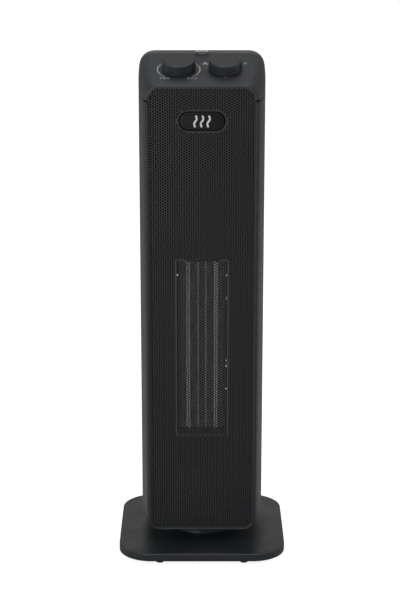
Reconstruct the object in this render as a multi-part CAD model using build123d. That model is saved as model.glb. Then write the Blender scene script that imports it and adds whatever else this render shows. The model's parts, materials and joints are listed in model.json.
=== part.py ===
from build123d import *
import math
import os

# Ceramic tower fan heater on a square swivel base.
# Millimetres, +Z up, front towards -Y, origin on the floor under the middle of the base.

# ---------------------------------------------------------------- driving dimensions
BASE_W, BASE_D, BASE_R = 201.0, 191.0, 40.0   # base plate outline and its corner radius
BASE_Z0 = 5.0                                 # lower edge of the base above the floor
BASE_EDGE_H = 8.8                             # height of the base rim at its corners
BASE_RISE = 2.4                               # how far the base dome rises to its middle
BASE_WALL, BASE_ROUND = 2.4, 1.4              # base shell wall and rounding of its top edge
BASE_PLATE_T = 1.8                            # bottom plate
FOOT_R, FOOT_X, FOOT_INSET = 5.3, 50.6, 12.0  # rubber feet: radius, place, inset from the edge

TOWER_W, TOWER_FRONT_W = 148.0, 131.0         # widest width, and width of the flat front
FRONT_Y, BACK_Y, WIDEST_Y = -60.0, 60.0, 5.0  # front face, back face, start of the widest part
REAR_R = 20.0                                 # rounding of the rear vertical corners
TOWER_Z0, TOWER_TOP_Z = 30.0, 598.5           # underside and top of the tower
CAP_H = 44.3                                  # height of the top cap
BOTTOM_R = 15.0                               # rounding along the lower edge of the tower
WALL = 2.5                                    # moulded wall of the tower
CAP_GAP, FRAME_DROP = 1.2, 1.0                # seam under the cap, and the front frame below it

PANEL_Y0, PANEL_DROP = -56.0, 26.1            # front edge of the slanted panel, and its fall
CREASE_Y = 21.5                               # line where the panel meets the flat rear strip
STRIP_RISE, CREASE_R, CAP_R = 1.2, 22.0, 17.0 # strip slope, crease radius, cap edge rounding

FRAME_DEPTH, RIM_SIDE, RIM_BOTTOM = 6.0, 5.0, 3.0   # front frame depth and visible rim
RIM_CORNER_R = 11.0                           # rim corner at the bottom of the grille
LIP_H, ARCH_R = 3.4, 13.5                     # lip over the grille, and the grille's top corners
GRILLE_T, GRILLE_LAP = 1.0, 1.5               # sheet thickness, and how far the rim laps over it
HOLE_PITCH_X, HOLE_PITCH_Z, HOLE_R = 10.88, 12.56, 4.4   # grille openings
BAFFLE_Y, BAFFLE_T = -52.0, 2.0               # air baffle behind the grille

BADGE_W, BADGE_H, BADGE_DROP = 51.5, 20.0, 38.0   # oval badge, and its distance below the grille top
BADGE_MOAT, BADGE_PROUD = 1.2, 1.4            # gap around it, and its depth behind the rim face
SYMBOL_H, SYMBOL_PITCH, SYMBOL_W, SYMBOL_T = 13.0, 7.5, 2.2, 0.4   # heat symbol strokes

KNOB_X, KNOB_Y = 26.8, -19.4                  # knob centres on the panel
KNOB_R, KNOB_TOP_R, KNOB_H = 19.75, 18.35, 12.3
KNOB_GAP, KNOB_CHAMFER, KNOB_WALL = 0.5, 1.2, 1.8
SPINDLE_R, SPINDLE_CLEAR = 3.0, 0.4
STAT_R, STAT_H = 14.0, 17.0                   # thermostat body
SWITCH_W, SWITCH_H = 27.0, 15.0               # rotary switch body
NUT_R, NUT_H = 6.0, 2.4                       # panel nuts under the knobs

BUTTON_W, BUTTON_D, BUTTON_PROUD = 15.3, 8.0, 3.0   # swing push button
BUTTON_TRAVEL, BUTTON_CLEAR, BUTTON_LIP = 2.5, 0.35, 1.2

WINDOW_W, WINDOW_H, WINDOW_UP = 56.4, 207.0, 128.0    # heater opening, and its height up the tower
HEATER_RIM_SIDE, HEATER_RIM_END = 3.9, 7.0    # ceramic heater frame around the opening
HEATER_D = 18.0                               # depth of the heater along Y
TUBE_X, TUBE_W = 16.2, 4.3                    # heating tubes
STRIP_X, STRIP_W = 5.05, 2.0                  # contact strips
FIN_PITCH, FIN_T = 9.0, 0.8                   # air fins between tubes and strips

FAN_Y, FAN_R, FAN_END = 14.0, 26.0, 5.0       # cross-flow wheel, shorter than the heater at each end
BLADES, BLADE_T, BLADE_LEN = 24, 1.0, 7.0
FAN_CLEAR, HOUSING_T = 3.0, 2.0
SHAFT_R, SHAFT_CLEAR = 2.5, 0.05
MOTOR_R, ROTOR_R, STATOR_H, AIR_GAP = 27.0, 13.0, 24.0, 0.4
WINDING_H, MOTOR_CAN_T, BUSH_R = 6.0, 2.0, 6.0

NECK_TUBE_R, NECK_WALL, NECK_FLANGE, CRANK_ROOM = 32.0, 4.5, 4.0, 2.0   # swivel neck
SEAT_RISE, SEAT_T, SLIP_T, NECK_CLEAR, SEAT_W = 3.8, 8.0, 1.5, 0.4, 5.6   # swivel seat on the base
RETAINER_T, RETAINER_LAP, RETAINER_CLEAR = 2.2, 4.5, 0.6
CRANK_Y, CRANK_E, CRANK_T, PIN_R = 16.0, 9.2, 3.0, 2.2   # swing drive crank
GEARMOTOR_R, GEARMOTOR_H, MOTOR_PLATE_T = 20.0, 16.0, 3.0
PLATE_RIM, PLATE_CLEAR = 6.0, 0.5             # motor plate beyond the neck, and clear of the wall
NECK_SCREW_R, FIX_SCREW_R = 1.5, 1.1          # screws through the neck flange and the retainer
SLOT_CLEAR, OPEN_PIVOT_GAP = 0.4, 0.4

POST_X, POST_R, POST_Y = 52.0, 5.5, 30.0      # screw posts between baffle and rear cover
POST_END, POST_MID = 32.0, 270.0              # lower posts above the tower's underside, middle posts
POST_TOP = 24.2                               # upper posts below the seam
SCREW_R, HEAD_R, HEAD_H, SCREW_L = 1.7, 3.4, 2.2, 22.0
WELL_DEPTH, WELL_CLEAR = 7.0, 0.5

INTAKE_PITCH, INTAKE_H, INTAKE_ROWS = 8.0, 4.0, 25
INTAKE_COLS, INTAKE_W, INTAKE_RIB = 3, 26.0, 5.0
DECK_T, DECK_DROP, DECK_CLEAR = 2.5, 6.2, 0.3 # control deck: thickness, depth below the cap
CORD_Z, BUSHING_R, BUSHING_BORE, BUSHING_PROUD = 52.0, 8.0, 3.6, 4.0

BASE_TOP_Z = BASE_Z0 + BASE_EDGE_H + BASE_RISE
SEAT_Z = BASE_TOP_Z + SEAT_RISE
NECK_R, NECK_BORE_R = NECK_TUBE_R + NECK_FLANGE, NECK_TUBE_R - NECK_WALL
NECK_CRANK_R = NECK_BORE_R + CRANK_ROOM
PLATE_R = min(NECK_R + PLATE_RIM, BACK_Y - BOTTOM_R - PLATE_CLEAR)
CREASE_Z, SEAM_Z = TOWER_TOP_Z, TOWER_TOP_Z - CAP_H
PANEL_Z0 = CREASE_Z - PANEL_DROP
ARCH_Z = PANEL_Z0 - LIP_H
BADGE_Z = ARCH_Z - BADGE_DROP
WINDOW_Z0 = TOWER_Z0 + WINDOW_UP
WINDOW_Z1 = WINDOW_Z0 + WINDOW_H
FAN_Z0, FAN_Z1 = WINDOW_Z0 + FAN_END - 3.0, WINDOW_Z1 - FAN_END
INTAKE_Z = (FAN_Z0 + FAN_Z1) / 2
POST_ZS = (TOWER_Z0 + POST_END, TOWER_Z0 + POST_MID, SEAM_Z - POST_TOP)
CAP_Z0 = SEAM_Z + CAP_GAP - 0.2
RIM_Y = FRONT_Y + WALL
GRILLE_Y1 = RIM_Y + GRILLE_T
BAFFLE_Y1 = BAFFLE_Y + BAFFLE_T
SLOPE = math.atan2(CREASE_Z - PANEL_Z0, CREASE_Y - PANEL_Y0)
TALL = CREASE_Z + 60.0

nodes = {}


# ---------------------------------------------------------------- helpers
def box(x0, x1, y0, y1, z0, z1):
    return Pos((x0 + x1) / 2, (y0 + y1) / 2, (z0 + z1) / 2) * Box(x1 - x0, y1 - y0, z1 - z0)


def rod(radius, z0, z1, x=0.0, y=0.0):
    return Pos(x, y, (z0 + z1) / 2) * Cylinder(radius, z1 - z0)


def ring(outer, inner, z0, z1, x=0.0, y=0.0):
    return rod(outer, z0, z1, x, y) - rod(inner, z0 - 1, z1 + 1, x, y)


def around(radius, angles):
    """Points on a circle about the tower's axis."""
    return [(radius * math.cos(math.radians(a)), radius * math.sin(math.radians(a))) for a in angles]


def neck_screw_spots():
    return around((NECK_R + NECK_CRANK_R) / 2, (180, 270, 360))


def rod_y(radius, y0, y1, x, z):
    return Pos(x, (y0 + y1) / 2, z) * Rot(90, 0, 0) * Cylinder(radius, y1 - y0)


def front_prism(sketch, y0, y1):
    """A sketch drawn in the front view (X right, Z up), extruded from y0 back to y1."""
    return extrude(Plane((0, y1, 0), (1, 0, 0), (0, -1, 0)) * sketch, amount=y1 - y0)


def rounded_slot(width, height, radius, x, z):
    return Pos(x, z) * RectangleRounded(width, height, radius)


def arch_sketch(half, z0, low_r, z1, high_r):
    """An upright opening with one corner radius below and another above."""
    sketch = Pos(0, (z0 + z1) / 2) * Rectangle(2 * half, z1 - z0)
    sketch = fillet([v for v in sketch.vertices() if v.Y < z0 + 0.1], low_r)
    return fillet([v for v in sketch.vertices() if v.Y > z1 - 0.1], high_r)


def screw_y(x, z, head_y, length):
    """A pan head screw driven along -Y from the back, its head seat at head_y."""
    return rod_y(HEAD_R, head_y, head_y + HEAD_H, x, z) + rod_y(SCREW_R, head_y - length, head_y, x, z)


def one(shape):
    """The single solid of a boolean result."""
    solids = shape.solids()
    return max(solids, key=lambda solid: solid.volume)


def add(name, shape):
    nodes[name] = shape


# ---------------------------------------------------------------- tower envelope
def tower_plan(inset=0.0):
    """Plan outline: flat front, gently bowed sides, round rear corners, moved in by inset."""
    half, front_half = TOWER_W / 2, TOWER_FRONT_W / 2
    flare, run = half - front_half, WIDEST_Y - FRONT_Y
    bow = (flare**2 + run**2) / (2 * flare)
    centre_x, bow_r = half - bow, bow - inset
    front = FRONT_Y + inset

    def bow_x(y):
        return centre_x + math.sqrt(bow_r**2 - (y - WIDEST_Y) ** 2)

    rear_x, rear_y, rear_r = half - REAR_R, BACK_Y - REAR_R, REAR_R - inset
    diag = rear_r * math.sqrt(0.5)
    side_mid = (front + WIDEST_Y) / 2
    right = [
        ThreePointArc((bow_x(front), front), (bow_x(side_mid), side_mid), (half - inset, WIDEST_Y)),
        Line((half - inset, WIDEST_Y), (half - inset, rear_y)),
        ThreePointArc((half - inset, rear_y), (rear_x + diag, rear_y + diag), (rear_x, BACK_Y - inset)),
    ]
    edges = Curve() + right + [mirror(edge, Plane.YZ) for edge in right]
    edges += Line((-bow_x(front), front), (bow_x(front), front))
    edges += Line((-rear_x, BACK_Y - inset), (rear_x, BACK_Y - inset))
    return make_face(edges.edges())


def side_edges(solid, z_test):
    """Edges of the chosen height that run along the sides and back, not the front."""
    return [edge for edge in solid.edges() if z_test(edge) and edge.center().Y > FRONT_Y + 8]


def tower_blank(inset=0.0):
    """Closed lower tower form, its bottom edge rounded on the sides and back."""
    z0 = TOWER_Z0 + inset
    solid = Pos(0, 0, z0) * extrude(tower_plan(inset), amount=TALL - z0)
    bottom = side_edges(solid, lambda edge: abs(edge.bounding_box().max.Z - z0) < 0.01)
    return fillet(bottom, BOTTOM_R - inset)


def cap_blank(inset=0.0):
    """Closed form under the slanted panel and rear strip, all round but the front edge."""
    shift = inset / math.cos(SLOPE)
    run = PANEL_Y0 - (FRONT_Y - 20)
    low = PANEL_Z0 - run * math.tan(SLOPE) - shift
    z0 = SEAM_Z - 60
    crease_y = CREASE_Y + inset * math.tan(SLOPE / 2)
    crease = (crease_y, CREASE_Z - inset)
    far = BACK_Y + 20
    tail = CREASE_Z + STRIP_RISE * (far - CREASE_Y) / (BACK_Y - CREASE_Y) - inset
    outline = Polyline((FRONT_Y - 20, z0), (FRONT_Y - 20, low), crease, (far, tail), (far, z0), close=True)
    profile = make_face(outline)
    corner = [v for v in profile.vertices() if abs(v.X - crease_y) < 0.1 and v.Y > z0 + 1]
    profile = fillet(corner, CREASE_R - inset)
    side = extrude(Plane.YZ * profile, amount=TOWER_W, both=True)
    solid = one(side & (Pos(0, 0, z0) * extrude(tower_plan(inset), amount=TALL - z0)))
    top = side_edges(solid, lambda edge: edge.center().Z > SEAM_Z and edge.bounding_box().size.Z < 40)
    return fillet(top, CAP_R - inset)


# ---------------------------------------------------------------- base
def base_parts():
    outline = RectangleRounded(BASE_W, BASE_D, BASE_R)
    reach = math.hypot(BASE_W / 2 - BASE_R, BASE_D / 2 - BASE_R) + BASE_R
    dome_r = (reach**2 + BASE_RISE**2) / (2 * BASE_RISE)

    def domed(inset, top, bottom):
        sketch = RectangleRounded(BASE_W - 2 * inset, BASE_D - 2 * inset, BASE_R - inset)
        block = Pos(0, 0, bottom) * extrude(sketch, amount=top - bottom + 5)
        return one(block & (Pos(0, 0, top - dome_r) * Sphere(dome_r)))

    shell = domed(0, BASE_TOP_Z, BASE_Z0)
    rim = [edge for edge in shell.edges() if edge.center().Z > BASE_Z0 + 4]
    shell = fillet(rim, BASE_ROUND)
    shell -= domed(BASE_WALL, BASE_TOP_Z - BASE_WALL, BASE_Z0 - 1)
    hole_r = NECK_TUBE_R + NECK_CLEAR
    seat_z0 = SEAT_Z - SEAT_T
    shell += rod(hole_r + SEAT_W, seat_z0, SEAT_Z)
    plate_z1 = BASE_Z0 + BASE_PLATE_T
    spots = [(sx * (BASE_W / 2 - 28), sy * (BASE_D / 2 - 28)) for sx in (-1, 1) for sy in (-1, 1)]
    for x, y in spots:
        shell += rod(4.0, plate_z1, BASE_TOP_Z - BASE_WALL, x, y)
        shell -= rod(1.4, plate_z1 - 1, plate_z1 + 4, x, y)
    shell -= rod(hole_r, BASE_Z0 - 1, TOWER_Z0)
    add("base_top", one(shell))

    inside = RectangleRounded(BASE_W - 2 * BASE_WALL, BASE_D - 2 * BASE_WALL, BASE_R - BASE_WALL)
    plate = Pos(0, 0, BASE_Z0) * extrude(inside, amount=BASE_PLATE_T)
    screws = []
    for x, y in spots:
        plate -= rod(3.0, BASE_Z0 - 1, BASE_Z0 + 1.0, x, y)
        plate -= rod(1.4, BASE_Z0, plate_z1 + 1, x, y)
        screws.append(rod(2.6, BASE_Z0, BASE_Z0 + 1.0, x, y) + rod(1.4, BASE_Z0 + 1.0, plate_z1 + 4, x, y))
    add("base_bottom_plate", one(plate))
    add("base_screws", Compound(children=[one(screw) for screw in screws]))

    feet = []
    for x in (-FOOT_X, FOOT_X):
        for y in (-(BASE_D / 2 - FOOT_INSET), BASE_D / 2 - FOOT_INSET):
            foot = rod(FOOT_R, 0, BASE_Z0, x, y)
            low = [edge for edge in foot.edges() if edge.center().Z < 0.1]
            feet.append(one(chamfer(low, 0.6)))
    add("rubber_feet", Compound(children=feet))

    post = box(-7, 7, 3, 30, plate_z1, TOWER_Z0 - 8) & rod(NECK_BORE_R - 0.5, plate_z1, TOWER_Z0)
    slot_half = PIN_R + SLOT_CLEAR
    post -= box(-slot_half, slot_half, CRANK_Y - CRANK_E - PIN_R - 1, 40, plate_z1 + 4, TOWER_Z0)
    add("drive_slot_block", one(post))

    washer = ring(hole_r + SEAT_W - 0.4, hole_r + 0.2, SEAT_Z, SEAT_Z + SLIP_T)
    add("slip_washer", washer)


# ---------------------------------------------------------------- swivel neck and swing drive
def swivel_parts():
    neck_z0 = SEAT_Z + SLIP_T
    seat_z0 = SEAT_Z - SEAT_T
    tube_z0 = seat_z0 - RETAINER_CLEAR
    crank_z1 = TOWER_Z0 - 2.0
    crank_z0 = crank_z1 - CRANK_T
    neck = rod(NECK_R, neck_z0, TOWER_Z0) + rod(NECK_TUBE_R, tube_z0, neck_z0)
    neck -= rod(NECK_BORE_R, tube_z0 - 1, TOWER_Z0 + 1)
    neck -= rod(NECK_CRANK_R, crank_z0 - 2, TOWER_Z0 + 1)
    plate_z0, plate_z1 = TOWER_Z0 + WALL, TOWER_Z0 + WALL + MOTOR_PLATE_T
    plate = rod(PLATE_R, plate_z0, plate_z1) - rod(SHAFT_R + 1, plate_z0 - 1, plate_z1 + 1, 0, CRANK_Y)
    plate -= rod(6, plate_z0 - 1, plate_z1 + 1, 0, -16)
    screws = []
    for x, y in neck_screw_spots():
        head = rod(HEAD_R, plate_z1, plate_z1 + HEAD_H, x, y)
        screws.append(one(head + rod(NECK_SCREW_R, TOWER_Z0 - 6, plate_z1, x, y)))
        neck -= rod(NECK_SCREW_R, TOWER_Z0 - 6, TOWER_Z0 + 1, x, y)
        plate -= rod(NECK_SCREW_R, plate_z0 - 1, plate_z1 + 1, x, y)
    add("neck_screws", Compound(children=screws))
    retainer_z0 = tube_z0 - RETAINER_T
    retainer = ring(NECK_TUBE_R + RETAINER_LAP, NECK_BORE_R, retainer_z0, tube_z0)
    fixings = []
    for x, y in around((NECK_TUBE_R + NECK_BORE_R) / 2, (30, 150, 270)):
        head = rod(2 * FIX_SCREW_R, retainer_z0 - 1.4, retainer_z0, x, y)
        fixings.append(one(head + rod(FIX_SCREW_R, retainer_z0, tube_z0 + 6, x, y)))
        retainer -= rod(FIX_SCREW_R, retainer_z0 - 1, tube_z0 + 1, x, y)
        neck -= rod(FIX_SCREW_R, tube_z0 - 1, tube_z0 + 6, x, y)
    add("swivel_neck", one(neck))
    add("swivel_retainer", one(retainer))
    add("retainer_screws", Compound(children=fixings))
    add("drive_mount_plate", one(plate))

    motor_z1 = plate_z1 + GEARMOTOR_H
    motor = rod(GEARMOTOR_R, plate_z1, motor_z1, 0, CRANK_Y)
    motor += box(-6, 6, CRANK_Y + GEARMOTOR_R - 4, CRANK_Y + GEARMOTOR_R + 6, plate_z1 + 3, motor_z1 - 3)
    motor -= rod(SHAFT_R + SHAFT_CLEAR, plate_z1 - 1, plate_z1 + 8, 0, CRANK_Y)
    add("swing_gearmotor", one(motor))
    crank = rod(CRANK_E + PIN_R + 0.8, crank_z0, crank_z1, 0, CRANK_Y)
    crank += rod(SHAFT_R, crank_z1, plate_z1 + 7.6, 0, CRANK_Y)
    crank += rod(PIN_R, TOWER_Z0 - 8 + OPEN_PIVOT_GAP, crank_z0, 0, CRANK_Y + CRANK_E)
    add("swing_crank", one(crank))


# ---------------------------------------------------------------- tower shells
def shell_parts():
    outer, inner = tower_blank(0), tower_blank(WALL)
    joint_y = FRONT_Y + FRAME_DEPTH
    frame_z1 = SEAM_Z - FRAME_DROP
    lap_half = TOWER_FRONT_W / 2 - RIM_SIDE
    rim_z0 = TOWER_Z0 + RIM_BOTTOM
    grille_half = lap_half + GRILLE_LAP
    grille_z0 = rim_z0 - GRILLE_LAP

    def front_opening(half, z0, radius):
        tall = 2 * (TALL - z0)
        return rounded_slot(2 * half, tall, radius, 0, z0 + tall / 2)

    frame = one(outer & box(-TOWER_W, TOWER_W, FRONT_Y - 1, joint_y, 0, frame_z1))
    frame -= front_prism(front_opening(lap_half, rim_z0, RIM_CORNER_R), FRONT_Y - 1, joint_y + 1)
    recess = front_opening(grille_half + 0.2, grille_z0 - 0.1, RIM_CORNER_R + GRILLE_LAP)
    frame -= front_prism(recess, RIM_Y, joint_y + 1)
    add("front_frame", one(frame))

    cover = one(outer & box(-TOWER_W, TOWER_W, joint_y, BACK_Y + 5, 0, SEAM_Z)) - inner
    keep = tower_blank(WALL / 2)
    deck_z1 = CAP_Z0 - DECK_DROP
    deck_z0 = deck_z1 - DECK_T
    ledges = [(sx * x, y) for sx in (-1, 1) for x, y in ((TOWER_W / 2 - 7, -10), (TOWER_W / 2 - 16, 38))]
    for x, y in ledges:
        cover += rod(5, deck_z0 - 25, deck_z0, x, y) & keep
    screws = []
    past_corner = max(0.0, POST_X - (TOWER_W / 2 - REAR_R))
    seat = BACK_Y - REAR_R + math.sqrt(REAR_R**2 - past_corner**2) - WELL_DEPTH
    for x in (-POST_X, POST_X):
        for z in POST_ZS:
            cover += rod_y(POST_R, POST_Y, BACK_Y, x, z) & keep
            cover -= rod_y(HEAD_R + WELL_CLEAR, seat, BACK_Y + 5, x, z)
            cover -= rod_y(SCREW_R, POST_Y - 1, seat + 1, x, z)
            screws.append(one(screw_y(x, z, seat, SCREW_L)))
    add("housing_screws", Compound(children=screws))
    span = INTAKE_COLS * INTAKE_W + (INTAKE_COLS - 1) * INTAKE_RIB
    slots = []
    for col in range(INTAKE_COLS):
        x = -span / 2 + INTAKE_W / 2 + col * (INTAKE_W + INTAKE_RIB)
        for row in range(INTAKE_ROWS):
            z = INTAKE_Z + (row - (INTAKE_ROWS - 1) / 2) * INTAKE_PITCH
            slots.append(rounded_slot(INTAKE_W, INTAKE_H, INTAKE_H / 2 - 0.05, x, z))
    cover -= front_prism(Sketch() + slots, BACK_Y - REAR_R + 3, BACK_Y + 5)
    cover -= rod(NECK_CRANK_R, TOWER_Z0 - 1, TOWER_Z0 + WALL + 1)
    for x, y in neck_screw_spots():
        cover -= rod(NECK_SCREW_R, TOWER_Z0 - 1, TOWER_Z0 + WALL + 1, x, y)
    cover -= rod_y(BUSHING_R - 2, BACK_Y - 10, BACK_Y + 5, 0, CORD_Z)
    add("rear_cover", one(cover))

    bushing = rod_y(BUSHING_R, BACK_Y, BACK_Y + BUSHING_PROUD, 0, CORD_Z)
    bushing += rod_y(BUSHING_R - 2, BACK_Y - WALL - 3, BACK_Y, 0, CORD_Z)
    bushing -= rod_y(BUSHING_BORE, BACK_Y - 20, BACK_Y + 20, 0, CORD_Z)
    add("cord_inlet_bushing", one(bushing))

    # perforated sheet, held between the rim in front and the baffle behind
    badge_gap = BADGE_H + 2 * BADGE_MOAT
    top = ARCH_Z + GRILLE_LAP
    low_r, high_r = RIM_CORNER_R + GRILLE_LAP - 0.5, ARCH_R + GRILLE_LAP
    sheet = arch_sketch(grille_half, grille_z0, low_r, top, high_r)
    cut = rounded_slot(BADGE_W + 2 * BADGE_MOAT, badge_gap, badge_gap / 2 - 0.05, 0, BADGE_Z)
    holes = []
    half_cols = int((lap_half - HOLE_R - 1) / HOLE_PITCH_X)
    rows = int((ARCH_Z - rim_z0 - 2 * HOLE_R) / HOLE_PITCH_Z)
    mid_z = (ARCH_Z + rim_z0) / 2
    for col in range(-half_cols, half_cols + 1):
        stagger = HOLE_PITCH_Z / 4 * (1 if col % 2 else -1)
        for row in range(rows):
            x, z = col * HOLE_PITCH_X, mid_z + (row - (rows - 1) / 2) * HOLE_PITCH_Z + stagger
            near_badge = abs(z - BADGE_Z) < badge_gap / 2 + HOLE_R + 1
            near_badge = near_badge and abs(x) < BADGE_W / 2 + BADGE_MOAT + HOLE_R + 1
            in_corner = abs(x) > lap_half - RIM_CORNER_R and (z < rim_z0 + 8 or z > ARCH_Z - 10)
            if not near_badge and not in_corner:
                holes.append(Pos(x, z) * Circle(HOLE_R))
    outline = (sheet - cut).face()
    wires = [hole.face().outer_wire() for hole in holes]
    perforated = Face(outline.outer_wire(), outline.inner_wires() + wires)
    add("front_grille", one(front_prism(perforated, RIM_Y, GRILLE_Y1)))

    cap = cap_blank(0) & box(-TOWER_W, TOWER_W, FRONT_Y - 1, BACK_Y + 5, CAP_Z0, TALL)
    hollow = cap_blank(WALL)
    cap = one(cap) - hollow
    tall = 2 * (ARCH_Z - TOWER_Z0)
    arch = rounded_slot(2 * lap_half, tall, ARCH_R, 0, ARCH_Z - tall / 2)
    cap -= front_prism(arch, FRONT_Y - 1, RIM_Y + 0.01)
    seat = arch_sketch(grille_half + 0.2, grille_z0, low_r, top + 0.1, high_r)
    cap -= front_prism(seat, RIM_Y, BAFFLE_Y1 + DECK_CLEAR)
    roof = cap_blank(WALL / 2)
    bosses = [(sx * x, y) for sx in (-1, 1) for x, y in ((POST_X - 4, -38), (POST_X - 12, 46))]
    cap_screws = []
    for x, y in bosses:
        cap += rod(4.5, deck_z1, TALL, x, y) & roof
        cap -= rod(SCREW_R, deck_z1 - 1, deck_z1 + 10, x, y)
        cap_screws.append(one(rod(HEAD_R, deck_z0 - HEAD_H, deck_z0, x, y) + rod(SCREW_R, deck_z0, deck_z1 + 10, x, y)))
    for plane in (panel_plane(-KNOB_X), panel_plane(KNOB_X)):
        cap -= plane * rod(NUT_R - 1.6, -20, 20)
    button_hole = extrude(rounded_slot(*button_size(BUTTON_CLEAR), 0, CREASE_Y), amount=80)
    cap -= Pos(0, 0, CREASE_Z - 40) * button_hole
    add("top_cap", one(cap))
    add("cap_screws", Compound(children=cap_screws))

    deck = Pos(0, 0, deck_z0) * extrude(tower_plan(WALL + DECK_CLEAR), amount=DECK_T)
    deck &= box(-TOWER_W, TOWER_W, BAFFLE_Y1 + DECK_CLEAR, BACK_Y, 0, TALL)
    deck -= rod(12, deck_z0 - 1, deck_z1 + 1, 0, 12)
    for x, y in bosses:
        deck -= rod(SCREW_R, deck_z0 - 1, deck_z1 + 1, x, y)
    for sx in (-1, 1):
        deck -= rod_y(POST_R + 1, -80, 80, sx * POST_X, POST_ZS[-1])
    add("control_deck", one(deck))


def button_size(grow):
    width, depth = BUTTON_W + 2 * grow, BUTTON_D + 2 * grow
    return width, depth, depth / 2 - 0.05


# ---------------------------------------------------------------- baffle and badge
def baffle_parts():
    lap_half = TOWER_FRONT_W / 2 - RIM_SIDE
    half = lap_half + GRILLE_LAP - 0.4
    z0, z1 = TOWER_Z0 + WALL + 0.6, ARCH_Z + GRILLE_LAP - 0.6
    tray = arch_sketch(half, z0, RIM_CORNER_R, z1, ARCH_R + GRILLE_LAP)
    baffle = front_prism(tray, GRILLE_Y1, BAFFLE_Y1)
    pocket = arch_sketch(half - 2, z0 + 2, RIM_CORNER_R - 2, z1 - 2, ARCH_R + GRILLE_LAP - 2)
    baffle -= front_prism(pocket, GRILLE_Y1 - 1, BAFFLE_Y)
    baffle -= box(-WINDOW_W / 2, WINDOW_W / 2, -80, 0, WINDOW_Z0, WINDOW_Z1)
    clips = [(sign * x, z) for sign in (-1, 1) for x, z in ((55, BADGE_Z - 2), (58, TOWER_Z0 + 35), (46.6, TOWER_Z0 + 35))]
    for x, z in clips + [(-13, ARCH_Z - 8)]:
        baffle -= front_prism(rounded_slot(4, 7, 1.5, x, z), BAFFLE_Y - 1, BAFFLE_Y1 + 1)
    for sx in (-1, 1):
        for z in POST_ZS:
            baffle += rod_y(POST_R - 1, BAFFLE_Y1, POST_Y, sx * POST_X, z)
            baffle -= rod_y(SCREW_R, POST_Y - 22, POST_Y + 1, sx * POST_X, z)
    add("air_baffle", one(baffle))

    face_y = FRONT_Y + BADGE_PROUD
    badge = front_prism(rounded_slot(BADGE_W, BADGE_H, BADGE_H / 2 - 0.05, 0, BADGE_Z), face_y, BAFFLE_Y)
    front = [edge for edge in badge.edges() if abs(edge.center().Y - face_y) < 0.1]
    add("front_badge", one(chamfer(front, 0.5)))
    strokes = []
    quarter, bulge = SYMBOL_H / 4, SYMBOL_H / 9
    for column in (-1, 0, 1):
        x = column * SYMBOL_PITCH
        wave = ThreePointArc((x, -2 * quarter), (x - bulge, -quarter), (x, 0))
        wave += ThreePointArc((x, 0), (x + bulge, quarter), (x, 2 * quarter))
        stroke = Pos(0, BADGE_Z) * trace(wave, SYMBOL_W)
        strokes.append(one(front_prism(stroke, face_y - SYMBOL_T, face_y)))
    add("badge_symbol", Compound(children=strokes))


# ---------------------------------------------------------------- controls
def panel_plane(x):
    """Frame on the panel surface at a knob: local Z is the panel's outward normal."""
    z = PANEL_Z0 + (KNOB_Y - PANEL_Y0) * math.tan(SLOPE)
    return Plane((x, KNOB_Y, z), (1, 0, 0), (0, -math.sin(SLOPE), math.cos(SLOPE)))


def knob(plane):
    body = Pos(0, 0, KNOB_GAP) * Solid.make_cone(KNOB_R, KNOB_TOP_R, KNOB_H - KNOB_GAP)
    top = [edge for edge in body.edges() if edge.center().Z > KNOB_H - 0.1]
    body = chamfer(top, KNOB_CHAMFER)
    body -= rod(KNOB_TOP_R - KNOB_WALL - 1, KNOB_GAP - 1, KNOB_H - 3)
    body += rod(SPINDLE_R + 2.4, KNOB_GAP + NUT_H + 0.6, KNOB_H - 2.9)
    body -= rod(SPINDLE_R, 0, KNOB_H - 3)
    body -= box(-0.9, 0.9, KNOB_TOP_R - 6.5, KNOB_TOP_R + 2, KNOB_H - 1.0, KNOB_H + 1)
    return one(plane * body)


def nut(plane):
    outline = RegularPolygon(NUT_R, 6)
    return one(plane * (extrude(outline, amount=NUT_H) - rod(NUT_R - 1.6, -1, NUT_H + 1)))


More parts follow.
